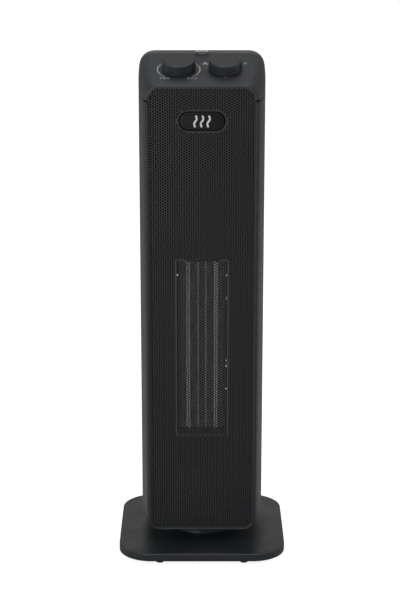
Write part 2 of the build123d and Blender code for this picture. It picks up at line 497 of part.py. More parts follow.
def control_parts():
    for name, x in (("thermostat", -KNOB_X), ("mode", KNOB_X)):
        plane = panel_plane(x)
        add(name + "_knob", knob(plane))
        height = STAT_H if name == "thermostat" else SWITCH_H
        spindle = rod(SPINDLE_R, -WALL - height + 4, KNOB_H - 3)
        add(name + "_spindle", one(plane * spindle))
        bore = rod(SPINDLE_R + SPINDLE_CLEAR, -WALL - height + 3, 20)
        bushing = rod(NUT_R - 1.6, -WALL, NUT_H)
        if name == "thermostat":
            body = rod(STAT_R, -WALL - height, -WALL) + bushing
            body += box(-STAT_R - 5, STAT_R + 5, -4, 4, -WALL - 5, -WALL - 2)
        else:
            body = box(-SWITCH_W / 2, SWITCH_W / 2, -SWITCH_W / 2, SWITCH_W / 2, -WALL - height, -WALL)
            body += bushing
            for tab in (-8, 0, 8):
                body += box(tab - 2.4, tab + 2.4, -0.4, 0.4, -WALL - height - 6, -WALL - height)
        add({"thermostat": "thermostat_body", "mode": "mode_switch"}[name], one(plane * (body - bore)))
        add({"thermostat": "thermostat_nut", "mode": "mode_switch_nut"}[name], nut(plane))

    top = CREASE_Z + BUTTON_PROUD
    stem_z0 = CREASE_Z - 14
    cap = Pos(0, 0, CREASE_Z - 5) * extrude(rounded_slot(*button_size(0), 0, CREASE_Y), amount=top - CREASE_Z + 5)
    rim = [edge for edge in cap.edges() if edge.center().Z > top - 0.1]
    cap = fillet(rim, 1.0)
    lip_z1 = CREASE_Z - WALL - 2.6
    lip = rounded_slot(*button_size(BUTTON_LIP), 0, CREASE_Y)
    cap += Pos(0, 0, lip_z1 - 1.5) * extrude(lip, amount=1.5)
    cap += rod(2.4, stem_z0, CREASE_Z - 4, 0, CREASE_Y)
    add("swing_button", one(cap))
    switch_z1 = lip_z1 - 1.5 - BUTTON_TRAVEL - 0.6
    switch = box(-7, 7, CREASE_Y - 7, CREASE_Y + 7, switch_z1 - 14, switch_z1)
    switch -= rod(2.4 + SPINDLE_CLEAR, stem_z0 - BUTTON_TRAVEL - 1, switch_z1 + 1, 0, CREASE_Y)
    add("swing_switch", one(switch))
    deck_z1 = CAP_Z0 - DECK_DROP
    bracket = box(-9, 9, CREASE_Y + 7, CREASE_Y + 9, deck_z1, switch_z1 - 2)
    bracket += box(-9, 9, CREASE_Y - 7, CREASE_Y + 9, switch_z1 - 16, switch_z1 - 14)
    bracket += box(-9, 9, CREASE_Y + 7, CREASE_Y + 20, deck_z1, deck_z1 + 2)
    add("swing_switch_bracket", one(bracket))


# ---------------------------------------------------------------- ceramic heater
def heater_parts():
    y0, y1 = BAFFLE_Y1, BAFFLE_Y1 + HEATER_D
    half, out = WINDOW_W / 2, WINDOW_W / 2 + HEATER_RIM_SIDE
    frame = box(-out, out, y0, y1, WINDOW_Z0 - HEATER_RIM_END, WINDOW_Z1 + HEATER_RIM_SIDE)
    frame -= box(-half, half, y0 - 1, y1 + 1, WINDOW_Z0, WINDOW_Z1)
    tube_y0, tube_y1 = y0 + 2, y1 - 2
    add("heater_frame", one(frame))
    tubes, strips, stones = [], [], []
    count, length = 7, 24.0
    pitch = (WINDOW_Z1 - WINDOW_Z0 - 10) / count
    for sign in (-1, 1):
        x0, x1 = sign * TUBE_X - TUBE_W / 2, sign * TUBE_X + TUBE_W / 2
        core = box(x0 + 0.9, x1 - 0.9, tube_y0 + 1, tube_y1 - 1, WINDOW_Z0 - 1, WINDOW_Z1 + 1)
        tubes.append(one(box(x0, x1, tube_y0, tube_y1, WINDOW_Z0, WINDOW_Z1) - core))
        for i in range(count):
            z = WINDOW_Z0 + 5 + (i + 0.5) * pitch
            stones.append(box(x0 + 0.9, x1 - 0.9, tube_y0 + 1, tube_y1 - 1, z - length / 2, z + length / 2))
        middle = sign * STRIP_X
        strips.append(box(middle - STRIP_W / 2, middle + STRIP_W / 2, tube_y0, tube_y1, WINDOW_Z0, WINDOW_Z1))
    add("heating_tubes", Compound(children=tubes))
    add("ceramic_stones", Compound(children=[one(stone) for stone in stones]))
    add("contact_strips", Compound(children=[one(strip) for strip in strips]))
    inner_gap, strip_out, strip_in = TUBE_X - TUBE_W / 2, STRIP_X + STRIP_W / 2, STRIP_X - STRIP_W / 2
    tube_out = TUBE_X + TUBE_W / 2
    spans = [(-half, -tube_out), (-inner_gap, -strip_out), (-strip_in, strip_in), (strip_out, inner_gap),
             (tube_out, half)]
    packs = [fin_pack(x0, x1, tube_y0, tube_y1) for x0, x1 in spans]
    add("fin_packs", Compound(children=packs))


def fin_pack(x0, x1, y0, y1):
    """A ladder of fins between two thin side bands, as one solid."""
    height = WINDOW_Z1 - WINDOW_Z0
    count = int((height - 2 * FIN_T) / FIN_PITCH)
    pitch = (height - FIN_T) / count
    band = 0.5
    ladder = Pos((x0 + x1) / 2, (WINDOW_Z0 + WINDOW_Z1) / 2) * Rectangle(x1 - x0, height)
    outline = ladder.face()
    gaps = []
    for i in range(count):
        z0 = WINDOW_Z0 + FIN_T + i * pitch
        gap = Pos((x0 + x1) / 2, z0 + (pitch - FIN_T) / 2) * Rectangle(x1 - x0 - 2 * band, pitch - FIN_T)
        gaps.append(gap.face().outer_wire())
    return one(front_prism(Face(outline.outer_wire(), gaps), y0, y1))


def safety_parts():
    z1 = WINDOW_Z1 + HEATER_RIM_SIDE
    y0 = BAFFLE_Y1
    bracket = box(-20, 20, y0, y0 + 1.2, z1, z1 + 16)
    add("cutout_bracket", bracket)
    cutout = rod_y(6.5, y0 + 1.2, y0 + 9, -9, z1 + 8) + box(-15, -3, y0 + 1.2, y0 + 2.6, z1 + 4, z1 + 12)
    for sx in (-1, 1):
        cutout += box(-9 + sx * 4 - 1.6, -9 + sx * 4 + 1.6, y0 + 9, y0 + 15, z1 + 7.6, z1 + 8.4)
    add("thermal_cutout", one(cutout))
    fuse = box(4, 18, y0 + 1.2, y0 + 4.4, z1 + 5, z1 + 9)
    add("thermal_fuse", fuse)
    tabs = []
    for x in (-TUBE_X, -STRIP_X, STRIP_X, TUBE_X):
        tabs.append(box(x - 2, x + 2, y0 + HEATER_D - 8, y0 + HEATER_D - 7.2, z1, z1 + 6))
    add("heater_terminals", Compound(children=tabs))
    floor_z = TOWER_Z0 + WALL + MOTOR_PLATE_T
    tip = box(-14, 14, -27, -9, floor_z, floor_z + 22) - rod(7, floor_z + 4, floor_z + 19, 0, -18)
    add("tip_over_switch", one(tip))


# ---------------------------------------------------------------- blower
def blower_parts():
    back_y = BAFFLE_Y1 + HEATER_D
    end_z0, end_z1 = FAN_Z0 - FAN_CLEAR - HOUSING_T, FAN_Z1 + FAN_CLEAR + HOUSING_T
    scroll_r = FAN_R + FAN_CLEAR
    wide = scroll_r + HOUSING_T
    rear = FAN_Y + wide
    for name, z0 in (("blower_end_lower", end_z0), ("blower_end_upper", end_z1 - HOUSING_T)):
        plate = box(-wide, wide, back_y, rear, z0, z0 + HOUSING_T)
        corner = [edge for edge in plate.edges().filter_by(Axis.Z) if edge.center().Y > FAN_Y]
        plate = fillet(corner, wide * 0.6)
        bore = BUSH_R if z0 == end_z0 else SHAFT_R + 2
        add(name, one(plate - rod(bore, z0 - 1, z0 + HOUSING_T + 1, 0, FAN_Y)))
    z0, z1 = end_z0 + HOUSING_T, end_z1 - HOUSING_T
    scroll = box(-wide, -scroll_r, back_y, FAN_Y, z0, z1)
    arc = ring(wide, scroll_r, z0, z1, 0, FAN_Y) & box(-wide - 1, -wide * 0.25, FAN_Y, rear + 1, z0, z1)
    add("scroll_wall", one(scroll + arc))
    tongue = box(scroll_r, wide, back_y, FAN_Y - 6, z0, z1) + rod(1.6, z0, z1, wide - 1.6, FAN_Y - 6)
    add("tongue_wall", one(tongue))

    wheel = rod(FAN_R, FAN_Z0, FAN_Z0 + 2, 0, FAN_Y) + rod(FAN_R, FAN_Z1 - 2, FAN_Z1, 0, FAN_Y)
    mid = (FAN_Z0 + FAN_Z1) / 2
    wheel += ring(FAN_R, FAN_R - BLADE_LEN, mid - 1, mid + 1, 0, FAN_Y)
    for i in range(BLADES):
        blade = Rot(0, 0, 360 / BLADES * i) * Pos(FAN_R - BLADE_LEN / 2 - 0.6, 0, mid) * Rot(0, 0, 32)
        wheel += Pos(0, FAN_Y, 0) * blade * Box(BLADE_LEN, BLADE_T, FAN_Z1 - FAN_Z0 - 2)
    wheel += rod(SHAFT_R + 3.5, FAN_Z1 - 12, FAN_Z1, 0, FAN_Y) + rod(SHAFT_R + 3.5, FAN_Z0, FAN_Z0 + 12, 0, FAN_Y)
    wheel -= rod(SHAFT_R, FAN_Z0 - 1, FAN_Z1 + 1, 0, FAN_Y)
    add("blower_wheel", one(wheel))

    can_z0 = end_z1
    stator_z0 = can_z0 + WINDING_H + MOTOR_CAN_T + 2
    stator_z1 = stator_z0 + STATOR_H
    can_z1 = stator_z1 + WINDING_H + 4
    shaft_z1 = can_z1 + MOTOR_CAN_T + 5
    add("blower_shaft", rod(SHAFT_R, end_z0 - 3, shaft_z1, 0, FAN_Y))
    bush_bore = SHAFT_R + SHAFT_CLEAR
    add("lower_shaft_bush", ring(BUSH_R, bush_bore, end_z0 - 2, end_z0 + HOUSING_T, 0, FAN_Y))
    add("motor_stator", ring(MOTOR_R, ROTOR_R + AIR_GAP, stator_z0, stator_z1, 0, FAN_Y))
    windings = [ring(MOTOR_R - 3, ROTOR_R + 2, z, z + WINDING_H, 0, FAN_Y)
                for z in (stator_z0 - WINDING_H, stator_z1)]
    add("motor_windings", Compound(children=[one(winding) for winding in windings]))
    can = ring(MOTOR_R + MOTOR_CAN_T, MOTOR_R, can_z0, can_z1, 0, FAN_Y)
    can += ring(MOTOR_R + MOTOR_CAN_T, BUSH_R, can_z1, can_z1 + MOTOR_CAN_T, 0, FAN_Y)
    for angle in range(0, 360, 60):
        can -= Pos(0, FAN_Y, can_z1 - 4) * Rot(0, 0, angle) * Pos(MOTOR_R, 0, 0) * Box(12, 12, 5)
    add("motor_can", one(can))
    add("upper_shaft_bush", ring(BUSH_R, bush_bore, can_z1, can_z1 + MOTOR_CAN_T + 2, 0, FAN_Y))
    add("motor_rotor", ring(ROTOR_R, SHAFT_R, stator_z0, stator_z1, 0, FAN_Y))


def build():
    base_parts()
    swivel_parts()
    shell_parts()
    baffle_parts()
    control_parts()
    heater_parts()
    safety_parts()
    blower_parts()
    os.makedirs("parts", exist_ok=True)
    for name, shape in nodes.items():
        export_step(shape, "parts/" + name + ".step")
    print(len(nodes), "nodes written")


build()
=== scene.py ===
# %% [markdown]
# # A ceramic tower fan heater
# The heater is a slim tower on a square swivel base. A plain CAD model already holds every part at its
# real size. This lesson loads that model as a fixed frame and gives each visible surface the look of the
# real thing. All lengths here are metres, +Z is up and the grille faces -Y.

# %% Load the frame
import json
import math

import bmesh
import bpy
from mathutils import Matrix, Vector
from mathutils.geometry import delaunay_2d_cdt

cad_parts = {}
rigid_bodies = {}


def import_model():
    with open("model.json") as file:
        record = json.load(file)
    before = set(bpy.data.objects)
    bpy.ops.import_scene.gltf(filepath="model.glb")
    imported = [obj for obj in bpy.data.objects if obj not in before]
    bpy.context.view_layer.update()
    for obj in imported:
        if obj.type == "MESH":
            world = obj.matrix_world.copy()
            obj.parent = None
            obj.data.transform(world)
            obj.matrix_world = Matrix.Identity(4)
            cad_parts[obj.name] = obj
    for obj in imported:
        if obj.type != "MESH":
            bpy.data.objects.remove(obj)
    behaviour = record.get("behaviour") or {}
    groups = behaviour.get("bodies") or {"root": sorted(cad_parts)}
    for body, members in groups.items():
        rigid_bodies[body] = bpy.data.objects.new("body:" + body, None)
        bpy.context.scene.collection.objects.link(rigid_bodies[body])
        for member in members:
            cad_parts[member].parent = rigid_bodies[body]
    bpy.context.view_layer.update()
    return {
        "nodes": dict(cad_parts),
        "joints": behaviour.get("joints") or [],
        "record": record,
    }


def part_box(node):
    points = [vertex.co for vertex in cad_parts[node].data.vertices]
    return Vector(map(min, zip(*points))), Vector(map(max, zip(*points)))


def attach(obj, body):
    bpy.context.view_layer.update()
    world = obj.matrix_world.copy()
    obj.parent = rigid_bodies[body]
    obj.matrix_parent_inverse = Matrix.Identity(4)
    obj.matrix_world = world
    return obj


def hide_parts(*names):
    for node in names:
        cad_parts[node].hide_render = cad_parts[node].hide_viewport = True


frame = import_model()
MM = 0.001

# %% [markdown]
# ## Small helpers for node trees
# Materials and Geometry Nodes are both graphs. A graph written in code is easy to read when one call
# makes a node, sets its values and plugs in its links. `wire` does that for every tree in this lesson.

# %% One call per node
def wire(tree, kind, inputs=None, **settings):
    """Adds a node. An input given as a socket is linked, and any other value is set."""
    made = tree.nodes.new(kind)
    for key, value in settings.items():
        setattr(made, key, value)
    for key, value in (inputs or {}).items():
        if isinstance(value, bpy.types.NodeSocket):
            tree.links.new(value, made.inputs[key])
        else:
            made.inputs[key].default_value = value
    return made


def calc(tree, operation, first, second=0.0):
    """One maths step on numbers or sockets."""
    return wire(tree, "ShaderNodeMath", {0: first, 1: second}, operation=operation).outputs[0]


# %% [markdown]
# ## Plastic that looks moulded
# Moulded plastic is never one flat colour. Its skin carries a fine spark-eroded grain that breaks up
# highlights, the gloss drifts a little over a large wall, and handling leaves faint soft patches. Three
# noises on Object coordinates give these: a tiny one for bump, a middle one for gloss, a broad one for
# colour. Object coordinates are right because each part sits at the origin and nothing slides.

# %% Shared surface recipe
def surface(name, colour, rough, metal=0.0, grain=0.00035, depth=0.25, drift=0.06, mottle=0.08,
            stretch=(1, 1, 1), coat=0.0, sheen=0.0, shine=0.5):
    """A finish with fine grain (its size in metres), gloss drift and colour mottling."""
    made = bpy.data.materials.new(name)
    made.use_nodes = True
    tree = made.node_tree
    tree.nodes.clear()
    place = wire(tree, "ShaderNodeTexCoord").outputs["Object"]
    turned = wire(tree, "ShaderNodeMapping", {"Vector": place, "Scale": stretch}).outputs[0]
    fine = wire(tree, "ShaderNodeTexNoise", {"Vector": turned, "Scale": 1 / grain, "Detail": 2.0,
                                             "Roughness": 0.6})
    broad = wire(tree, "ShaderNodeTexNoise", {"Vector": turned, "Scale": 22.0, "Detail": 4.0,
                                              "Roughness": 0.55})
    tint = wire(tree, "ShaderNodeValToRGB", {"Fac": broad.outputs["Fac"]})
    low, high = tint.color_ramp.elements
    low.position, high.position = 0.3, 0.7
    low.color = [c * (1 - mottle) for c in colour] + [1]
    high.color = [min(1, c * (1 + mottle)) for c in colour] + [1]
    gloss = wire(tree, "ShaderNodeMapRange", {"Value": broad.outputs["Fac"], "From Min": 0.3,
                 "From Max": 0.7, "To Min": rough - drift, "To Max": rough + drift}).outputs[0]
    bump = wire(tree, "ShaderNodeBump", {"Height": fine.outputs["Fac"], "Strength": depth,
                                         "Distance": grain * 0.5})
    shader = wire(tree, "ShaderNodeBsdfPrincipled", {"Base Color": tint.outputs["Color"],
                  "Roughness": gloss, "Metallic": metal, "Normal": bump.outputs["Normal"],
                  "Coat Weight": coat, "Coat Roughness": 0.12, "Sheen Weight": sheen,
                  "Specular IOR Level": shine})
    wire(tree, "ShaderNodeOutputMaterial", {"Surface": shader.outputs["BSDF"]})
    made.diffuse_color = [*colour, 1]
    return made


# %% The heater's finishes
finish = {
    "base_plastic": surface("base_plastic", (0.021, 0.024, 0.028), 0.41, depth=0.10, mottle=0.05),
    "body_plastic": surface("body_plastic", (0.046, 0.046, 0.045), 0.46, depth=0.30),
    "front_plastic": surface("front_plastic", (0.021, 0.024, 0.027), 0.48, depth=0.25),
    "cap_plastic": surface("cap_plastic", (0.034, 0.038, 0.043), 0.48, depth=0.35),
    "knob_plastic": surface("knob_plastic", (0.029, 0.032, 0.037), 0.50, depth=0.30),
    "black_plastic": surface("black_plastic", (0.004, 0.004, 0.004), 0.80, depth=0.3),
    "heater_plastic": surface("heater_plastic", (0.022, 0.022, 0.022), 0.6, grain=0.0006, depth=0.4),
    # Darker than the other plastics: painted shade for the dark under the tower, round the swivel neck.
    "slip_plastic": surface("slip_plastic", (0.016, 0.016, 0.017), 0.50, grain=0.0008, depth=0.15),
    "button_plastic": surface("button_plastic", (0.80, 0.81, 0.83), 0.40, depth=0.15),
    "badge_plastic": surface("badge_plastic", (0.009, 0.010, 0.012), 0.45, depth=0.05, shine=0.25),
    "print_white": surface("print_white", (0.95, 0.95, 0.96), 0.45, grain=0.0002, depth=0.1, mottle=0.02),
    "print_grey": surface("print_grey", (0.70, 0.72, 0.76), 0.5, grain=0.0002, depth=0.1, mottle=0.05),
    "print_dark": surface("print_dark", (0.05, 0.05, 0.055), 0.5, grain=0.0002, depth=0.1, mottle=0.05),
    # Near-white for the heater-frame rivets: a painted glint.
    "rivet_glint_white": surface("rivet_glint_white", (0.90, 0.90, 0.88), 0.35, metal=0.2, grain=0.0002, depth=0.1),
    # Light grey for the heater bead: a painted highlight, the line of light along its edge.
    "bead_highlight_grey": surface("bead_highlight_grey", (0.20, 0.21, 0.22), 0.4, grain=0.0002, depth=0.1),
    "grille_metal": surface("grille_metal", (0.034, 0.037, 0.041), 0.42, grain=0.0005, depth=0.25),
    "rubber_foot": surface("rubber_foot", (0.018, 0.018, 0.018), 0.8, grain=0.0005, depth=0.5),
    "steel_screw": surface("steel_screw", (0.16, 0.16, 0.17), 0.38, metal=1.0, depth=0.15),
    "steel_bright": surface("steel_bright", (0.56, 0.57, 0.58), 0.32, metal=1.0, grain=0.0004, depth=0.2,
                            stretch=(1, 1, 0.08)),
    "motor_steel": surface("motor_steel", (0.42, 0.43, 0.44), 0.42, metal=1.0, grain=0.0012, depth=0.2,
                           mottle=0.16, drift=0.12),
    "tube_aluminium": surface("tube_aluminium", (0.80, 0.80, 0.81), 0.28, metal=1.0, depth=0.2,
                              stretch=(1, 1, 0.05)),
    "fin_aluminium": surface("fin_aluminium", (0.60, 0.61, 0.62), 0.45, metal=0.45, depth=0.2,
                             stretch=(1, 0.1, 1)),
    "ceramic": surface("ceramic", (0.10, 0.09, 0.085), 0.7, grain=0.0007, depth=0.5),
    "brass_tab": surface("brass_tab", (0.72, 0.50, 0.22), 0.34, metal=1.0, mottle=0.12),
    "copper_winding": surface("copper_winding", (0.50, 0.16, 0.06), 0.30, metal=0.7, grain=0.0004,
                              depth=0.3, stretch=(1, 1, 6), coat=0.5),
}
print(len(finish), "finishes")

# %% [markdown]
# ## Dressing the CAD nodes
# Each CAD node names its material slot in the record. The nodes keep their meshes, and only their
# material changes.

# %% Give every node its finish
slot_of = {part["node"]: part["material_slot"] for part in frame["record"]["subparts"]}
for name, item in frame["nodes"].items():
    item.data.materials.clear()
    item.data.materials.append(finish[slot_of[name]])
print("dressed", len(slot_of), "nodes")


# %% [markdown]
# ## From a node tree to a plain piece
# A Geometry Nodes result has to become an ordinary mesh, because instances don't survive export. A tree
# is put on a small carrier object, its inputs are set by identifier before the first evaluation, and the
# evaluated result is copied to a new mesh.

# %% Making and baking objects
def shown(name, data):
    """A new object, linked into the scene."""
    made = bpy.data.objects.new(name, data)
    bpy.context.collection.objects.link(made)
    return made


def baked(item):
    """A plain mesh of the object as its modifiers leave it."""
    graph = bpy.context.evaluated_depsgraph_get()
    return bpy.data.meshes.new_from_object(item.evaluated_get(graph))


# %% Helpers for Geometry Nodes
def new_tree(name, **sizes):
    """An empty Geometry Nodes tree with one named input for each size."""
    tree = bpy.data.node_groups.new(name, "GeometryNodeTree")
    tree.interface.new_socket("Geometry", in_out="INPUT", socket_type="NodeSocketGeometry")
    for label, value in sizes.items():
        kind = "NodeSocketInt" if isinstance(value, int) else "NodeSocketFloat"
        if isinstance(value, bpy.types.Object):
            kind = "NodeSocketObject"
        tree.interface.new_socket(label, in_out="INPUT", socket_type=kind)
    tree.interface.new_socket("Geometry", in_out="OUTPUT", socket_type="NodeSocketGeometry")
    return tree, tree.nodes.new("NodeGroupInput").outputs


def copies_on(tree, points, shape, **turned):
    """Sets a copy of the object input on every point. Rotation may be given."""
    source = wire(tree, "GeometryNodeObjectInfo", {"Object": shape}).outputs["Geometry"]
    inputs = {"Points": points, "Instance": source, **turned}
    return wire(tree, "GeometryNodeInstanceOnPoints", inputs).outputs[0]


def close_tree(tree, geometry, material, weld=0.0):
    """Ends a tree: realize, weld, one material."""
    solid = wire(tree, "GeometryNodeRealizeInstances", {"Geometry": geometry}).outputs[0]
    if weld:
        solid = wire(tree, "GeometryNodeMergeByDistance", {"Geometry": solid, "Distance": weld}).outputs[0]
    painted = wire(tree, "GeometryNodeSetMaterial", {"Geometry": solid, "Material": material}).outputs[0]
    wire(tree, "NodeGroupOutput", {"Geometry": painted})


def run_tree(name, tree, **sizes):
    """Evaluates a tree with these inputs and returns the result as a plain mesh object."""
    carrier = shown(name + "_carrier", bpy.data.meshes.new(name + "_carrier"))
    modifier = carrier.modifiers.new("nodes", "NODES")
    modifier.node_group = tree
    idents = {item.name: item.identifier for item in tree.interface.items_tree if item.in_out == "INPUT"}
    for label, value in sizes.items():
        modifier[idents[label]] = value
    mesh = baked(carrier)
    mesh.name = name
    bpy.data.objects.remove(carrier)
    return shown(name, mesh)


def piece_from(name, bm, material, smooth=True, angle=35.0):
    """A mesh object from a bmesh, with smooth shading that stops at sharp edges."""
    bmesh.ops.recalc_face_normals(bm, faces=bm.faces)
    mesh = bpy.data.meshes.new(name)
    bm.to_mesh(mesh)
    bm.free()
    mesh.materials.append(finish[material])
    piece = shown(name, mesh)
    if smooth:
        mesh.shade_smooth()
        mesh.set_sharp_from_angle(angle=math.radians(angle))
    return piece


def join(name, *pieces):
    """Joins plain meshes into the first one and names it."""
    bpy.ops.object.select_all(action="DESELECT")
    for piece in pieces:
        piece.select_set(True)
    bpy.context.view_layer.objects.active = pieces[0]
    bpy.ops.object.join()
    pieces[0].name = pieces[0].data.name = name
    return pieces[0]


def place(piece, body, *nodes, slot):
    """Rides on a body and stands for CAD nodes. Its slot argument is not used."""
    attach(piece, body)
    if nodes:
        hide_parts(*nodes)
    print(piece.name, len(piece.data.polygons), "faces")
    return piece


def tool(name, bm):
    """A source shape for instancing, removed once its tree has run."""
    mesh = bpy.data.meshes.new(name)
    bm.to_mesh(mesh)
    bm.free()
    return shown(name, mesh)


# %% [markdown]
# ## The perforated front
# The front is one steel sheet with over seven thousand round holes in staggered columns. Cutting them
# with booleans would be slow and would leave long thin triangles. Instead one small tile is made, a
# rectangle with a hole whose rim has a point on every corner and mid-side. Tiles that are moved by half
# a pitch still meet point to point, so the whole field welds into one closed sheet.

# %% Sheet sizes, from the frame
sheet_low, sheet_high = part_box("front_grille")
badge_low, badge_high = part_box("front_badge")
COLUMN_PITCH, ROW_PITCH, HOLE_R, HOLE_RISE = 2.72 * MM, 3.14 * MM, 1.10 * MM, 1.22 * MM
COLUMNS = 44
FIELD_EDGE = 1.7 * MM
ROWS = int((sheet_high.z - sheet_low.z - 2 * FIELD_EDGE) / ROW_PITCH)
FIELD_Z0 = sheet_low.z + FIELD_EDGE
SHEET_R_LOW, SHEET_R_HIGH = 12.0 * MM, 15.0 * MM
BADGE_GAP = 1.2 * MM
badge_mid = (badge_low + badge_high) / 2
badge_half_h = (badge_high.z - badge_low.z) / 2
badge_straight = (badge_high.x - badge_low.x) / 2 - badge_half_h
print("sheet", [round(v / MM, 1) for v in sheet_high - sheet_low], "mm,", COLUMNS, "x", ROWS, "holes")


# %% One tile with its hole
def perforation_tile():
    """A rectangle of sheet with a hole of eight sides, open at its four outer edges."""
    bm = bmesh.new()
    half_x, half_z = COLUMN_PITCH / 2, ROW_PITCH / 2
    steps = [(1, 0), (1, 1), (0, 1), (-1, 1), (-1, 0), (-1, -1), (0, -1), (1, -1)]
    rings = []
    for y in (sheet_low.y, sheet_high.y):
        outer = [bm.verts.new((sx * half_x, y, sz * half_z)) for sx, sz in steps]
        angles = [math.atan2(sz, sx) for sx, sz in steps]
        inner = [bm.verts.new((math.cos(a) * HOLE_R, y, math.sin(a) * HOLE_RISE)) for a in angles]
        rings.append((outer, inner))
    (front_out, front_in), (back_out, back_in) = rings
    for i in range(8):
        j = (i + 1) % 8
        bm.faces.new((front_out[i], front_out[j], front_in[j], front_in[i]))
        bm.faces.new((back_out[j], back_out[i], back_in[i], back_in[j]))
        bm.faces.new((front_in[i], front_in[j], back_in[j], back_in[i]))
    return bm


# %% The field of holes as a node tree
def flat_length(tree, dx, dz):
    """Length of a flat vector, as nodes."""
    squares = [calc(tree, "MULTIPLY", part, part) for part in (dx, dz)]
    return calc(tree, "SQRT", calc(tree, "ADD", *squares))


def stadium_distance(tree, x, z):
    """Distance from the badge's centre line, as nodes."""
    dx = calc(tree, "MAXIMUM", calc(tree, "SUBTRACT", calc(tree, "ABSOLUTE", x), badge_straight), 0.0)
    dz = calc(tree, "SUBTRACT", z, badge_mid.z)
    return flat_length(tree, dx, dz)


def corner_distance(tree, x, z, centre_x, centre_z, way):
    """Distance past a rounded corner's centre, as nodes; way is +1 above the centre and -1 below."""
    dx = calc(tree, "MAXIMUM", calc(tree, "SUBTRACT", calc(tree, "ABSOLUTE", x), centre_x), 0.0)
    dz = calc(tree, "MAXIMUM", calc(tree, "MULTIPLY", calc(tree, "SUBTRACT", z, centre_z), way), 0.0)
    return flat_length(tree, dx, dz)


def perforated_field(tile):
    """Tiles on a grid whose odd columns are lifted by half a pitch, kept clear of badge and corners."""
    sizes = {"Tile": tile, "Columns": 2, "Rows": 2, "Column pitch": 0.1, "Row pitch": 0.1,
             "First row": 0.1, "Keep clear": 0.1}
    tree, given = new_tree("perforated_field", **sizes)
    width = calc(tree, "MULTIPLY", calc(tree, "SUBTRACT", given["Columns"], 1.0), given["Column pitch"])
    height = calc(tree, "MULTIPLY", calc(tree, "SUBTRACT", given["Rows"], 1.0), given["Row pitch"])
    grid = wire(tree, "GeometryNodeMeshGrid", {"Size X": width, "Size Y": height,
                "Vertices X": given["Columns"], "Vertices Y": given["Rows"]}).outputs["Mesh"]
    spot = wire(tree, "ShaderNodeSeparateXYZ",
                {"Vector": wire(tree, "GeometryNodeInputPosition").outputs[0]}).outputs
    column = calc(tree, "FLOOR", calc(tree, "DIVIDE", spot["X"], given["Column pitch"]), 0.0)
    odd = calc(tree, "FLOORED_MODULO", column, 2.0)
    lift = calc(tree, "MULTIPLY", calc(tree, "MULTIPLY", odd, given["Row pitch"]), 0.5)
    rise = calc(tree, "ADD", spot["Y"], calc(tree, "MULTIPLY", height, 0.5))
    z = calc(tree, "ADD", calc(tree, "ADD", rise, lift), given["First row"])
    upright = wire(tree, "ShaderNodeCombineXYZ", {"X": spot["X"], "Y": 0.0, "Z": z}).outputs[0]
    moved = wire(tree, "GeometryNodeSetPosition", {"Geometry": grid, "Position": upright}).outputs[0]
    now = wire(tree, "ShaderNodeSeparateXYZ",
               {"Vector": wire(tree, "GeometryNodeInputPosition").outputs[0]}).outputs
    in_badge = calc(tree, "LESS_THAN", stadium_distance(tree, now["X"], now["Z"]),
                    calc(tree, "ADD", given["Keep clear"], badge_half_h + BADGE_GAP))
    past = []
    for radius, edge_z, way in ((SHEET_R_LOW, sheet_low.z, -1), (SHEET_R_HIGH, sheet_high.z, 1)):
        reach = corner_distance(tree, now["X"], now["Z"], sheet_high.x - radius, edge_z - way * radius, way)
        past.append(calc(tree, "GREATER_THAN", reach, calc(tree, "SUBTRACT", radius, given["Keep clear"])))
    drop = calc(tree, "ADD", in_badge, calc(tree, "ADD", *past))
    kept = wire(tree, "GeometryNodeDeleteGeometry", {"Geometry": moved, "Selection": drop}, domain="POINT")
    copies = copies_on(tree, kept.outputs[0], given["Tile"])
    close_tree(tree, copies, finish["grille_metal"], weld=0.02 * MM)
    return tree


tile = tool("perforation_tile", perforation_tile())
tile_reach = math.hypot(COLUMN_PITCH, ROW_PITCH) / 2
field = run_tree("grille_field", perforated_field(tile), **{
    "Tile": tile, "Columns": COLUMNS, "Rows": ROWS, "Column pitch": COLUMN_PITCH, "Row pitch": ROW_PITCH,
    "First row": FIELD_Z0 + ROW_PITCH / 2, "Keep clear": tile_reach})
bpy.data.objects.remove(tile)
print("field of holes:", len(field.data.polygons), "faces")


# %% [markdown]
# The field ends in a stepped edge. A narrow plain border closes it out to the round-cornered outline and
# in to the badge opening. Constrained triangulation fills exactly the region between those edges, and
# every open edge then gets a wall, so that each piece is a closed sheet.

# %% The two outlines of the border
CORNER_STEPS, BADGE_STEPS = 10, 20
SAME_PLACE = 1e-6      # points nearer than this, in metres, are one point


def arc_points(cx, cz, radius, start, end, count):
    """Points along an arc in the front view, from one angle in degrees to another."""
    turns = [math.radians(start + (end - start) * i / count) for i in range(count + 1)]
    return [Vector((cx + radius * math.cos(t), cz + radius * math.sin(t))) for t in turns]


def sheet_outline():
    """The sheet's edge: its lower and upper corners have different radii."""
    x, z0, z1 = sheet_high.x, sheet_low.z, sheet_high.z
    low, top = SHEET_R_LOW, SHEET_R_HIGH
    return (arc_points(x - low, z0 + low, low, -90, 0, CORNER_STEPS)
            + arc_points(x - top, z1 - top, top, 0, 90, CORNER_STEPS)
            + arc_points(-x + top, z1 - top, top, 90, 180, CORNER_STEPS)
            + arc_points(-x + low, z0 + low, low, 180, 270, CORNER_STEPS))


def badge_outline(grow):
    """The badge's stadium, grown by a margin."""
    radius = badge_half_h + grow
    return (arc_points(badge_straight, badge_mid.z, radius, -90, 90, BADGE_STEPS)
            + arc_points(-badge_straight, badge_mid.z, radius, 90, 270, BADGE_STEPS))


def inside_round(point, half_x, z0, z1, low, top):
    """Whether a point is inside the round-cornered sheet."""
    x, z = abs(point.x), point.y
    if x > half_x or z < z0 or z > z1:
        return False
    for radius, corner_z, way in ((low, z0 + low, -1), (top, z1 - top, 1)):
        dx, dz = x - (half_x - radius), (z - corner_z) * way
        if dx > 0 and dz > 0 and math.hypot(dx, dz) > radius:
            return False
    return True


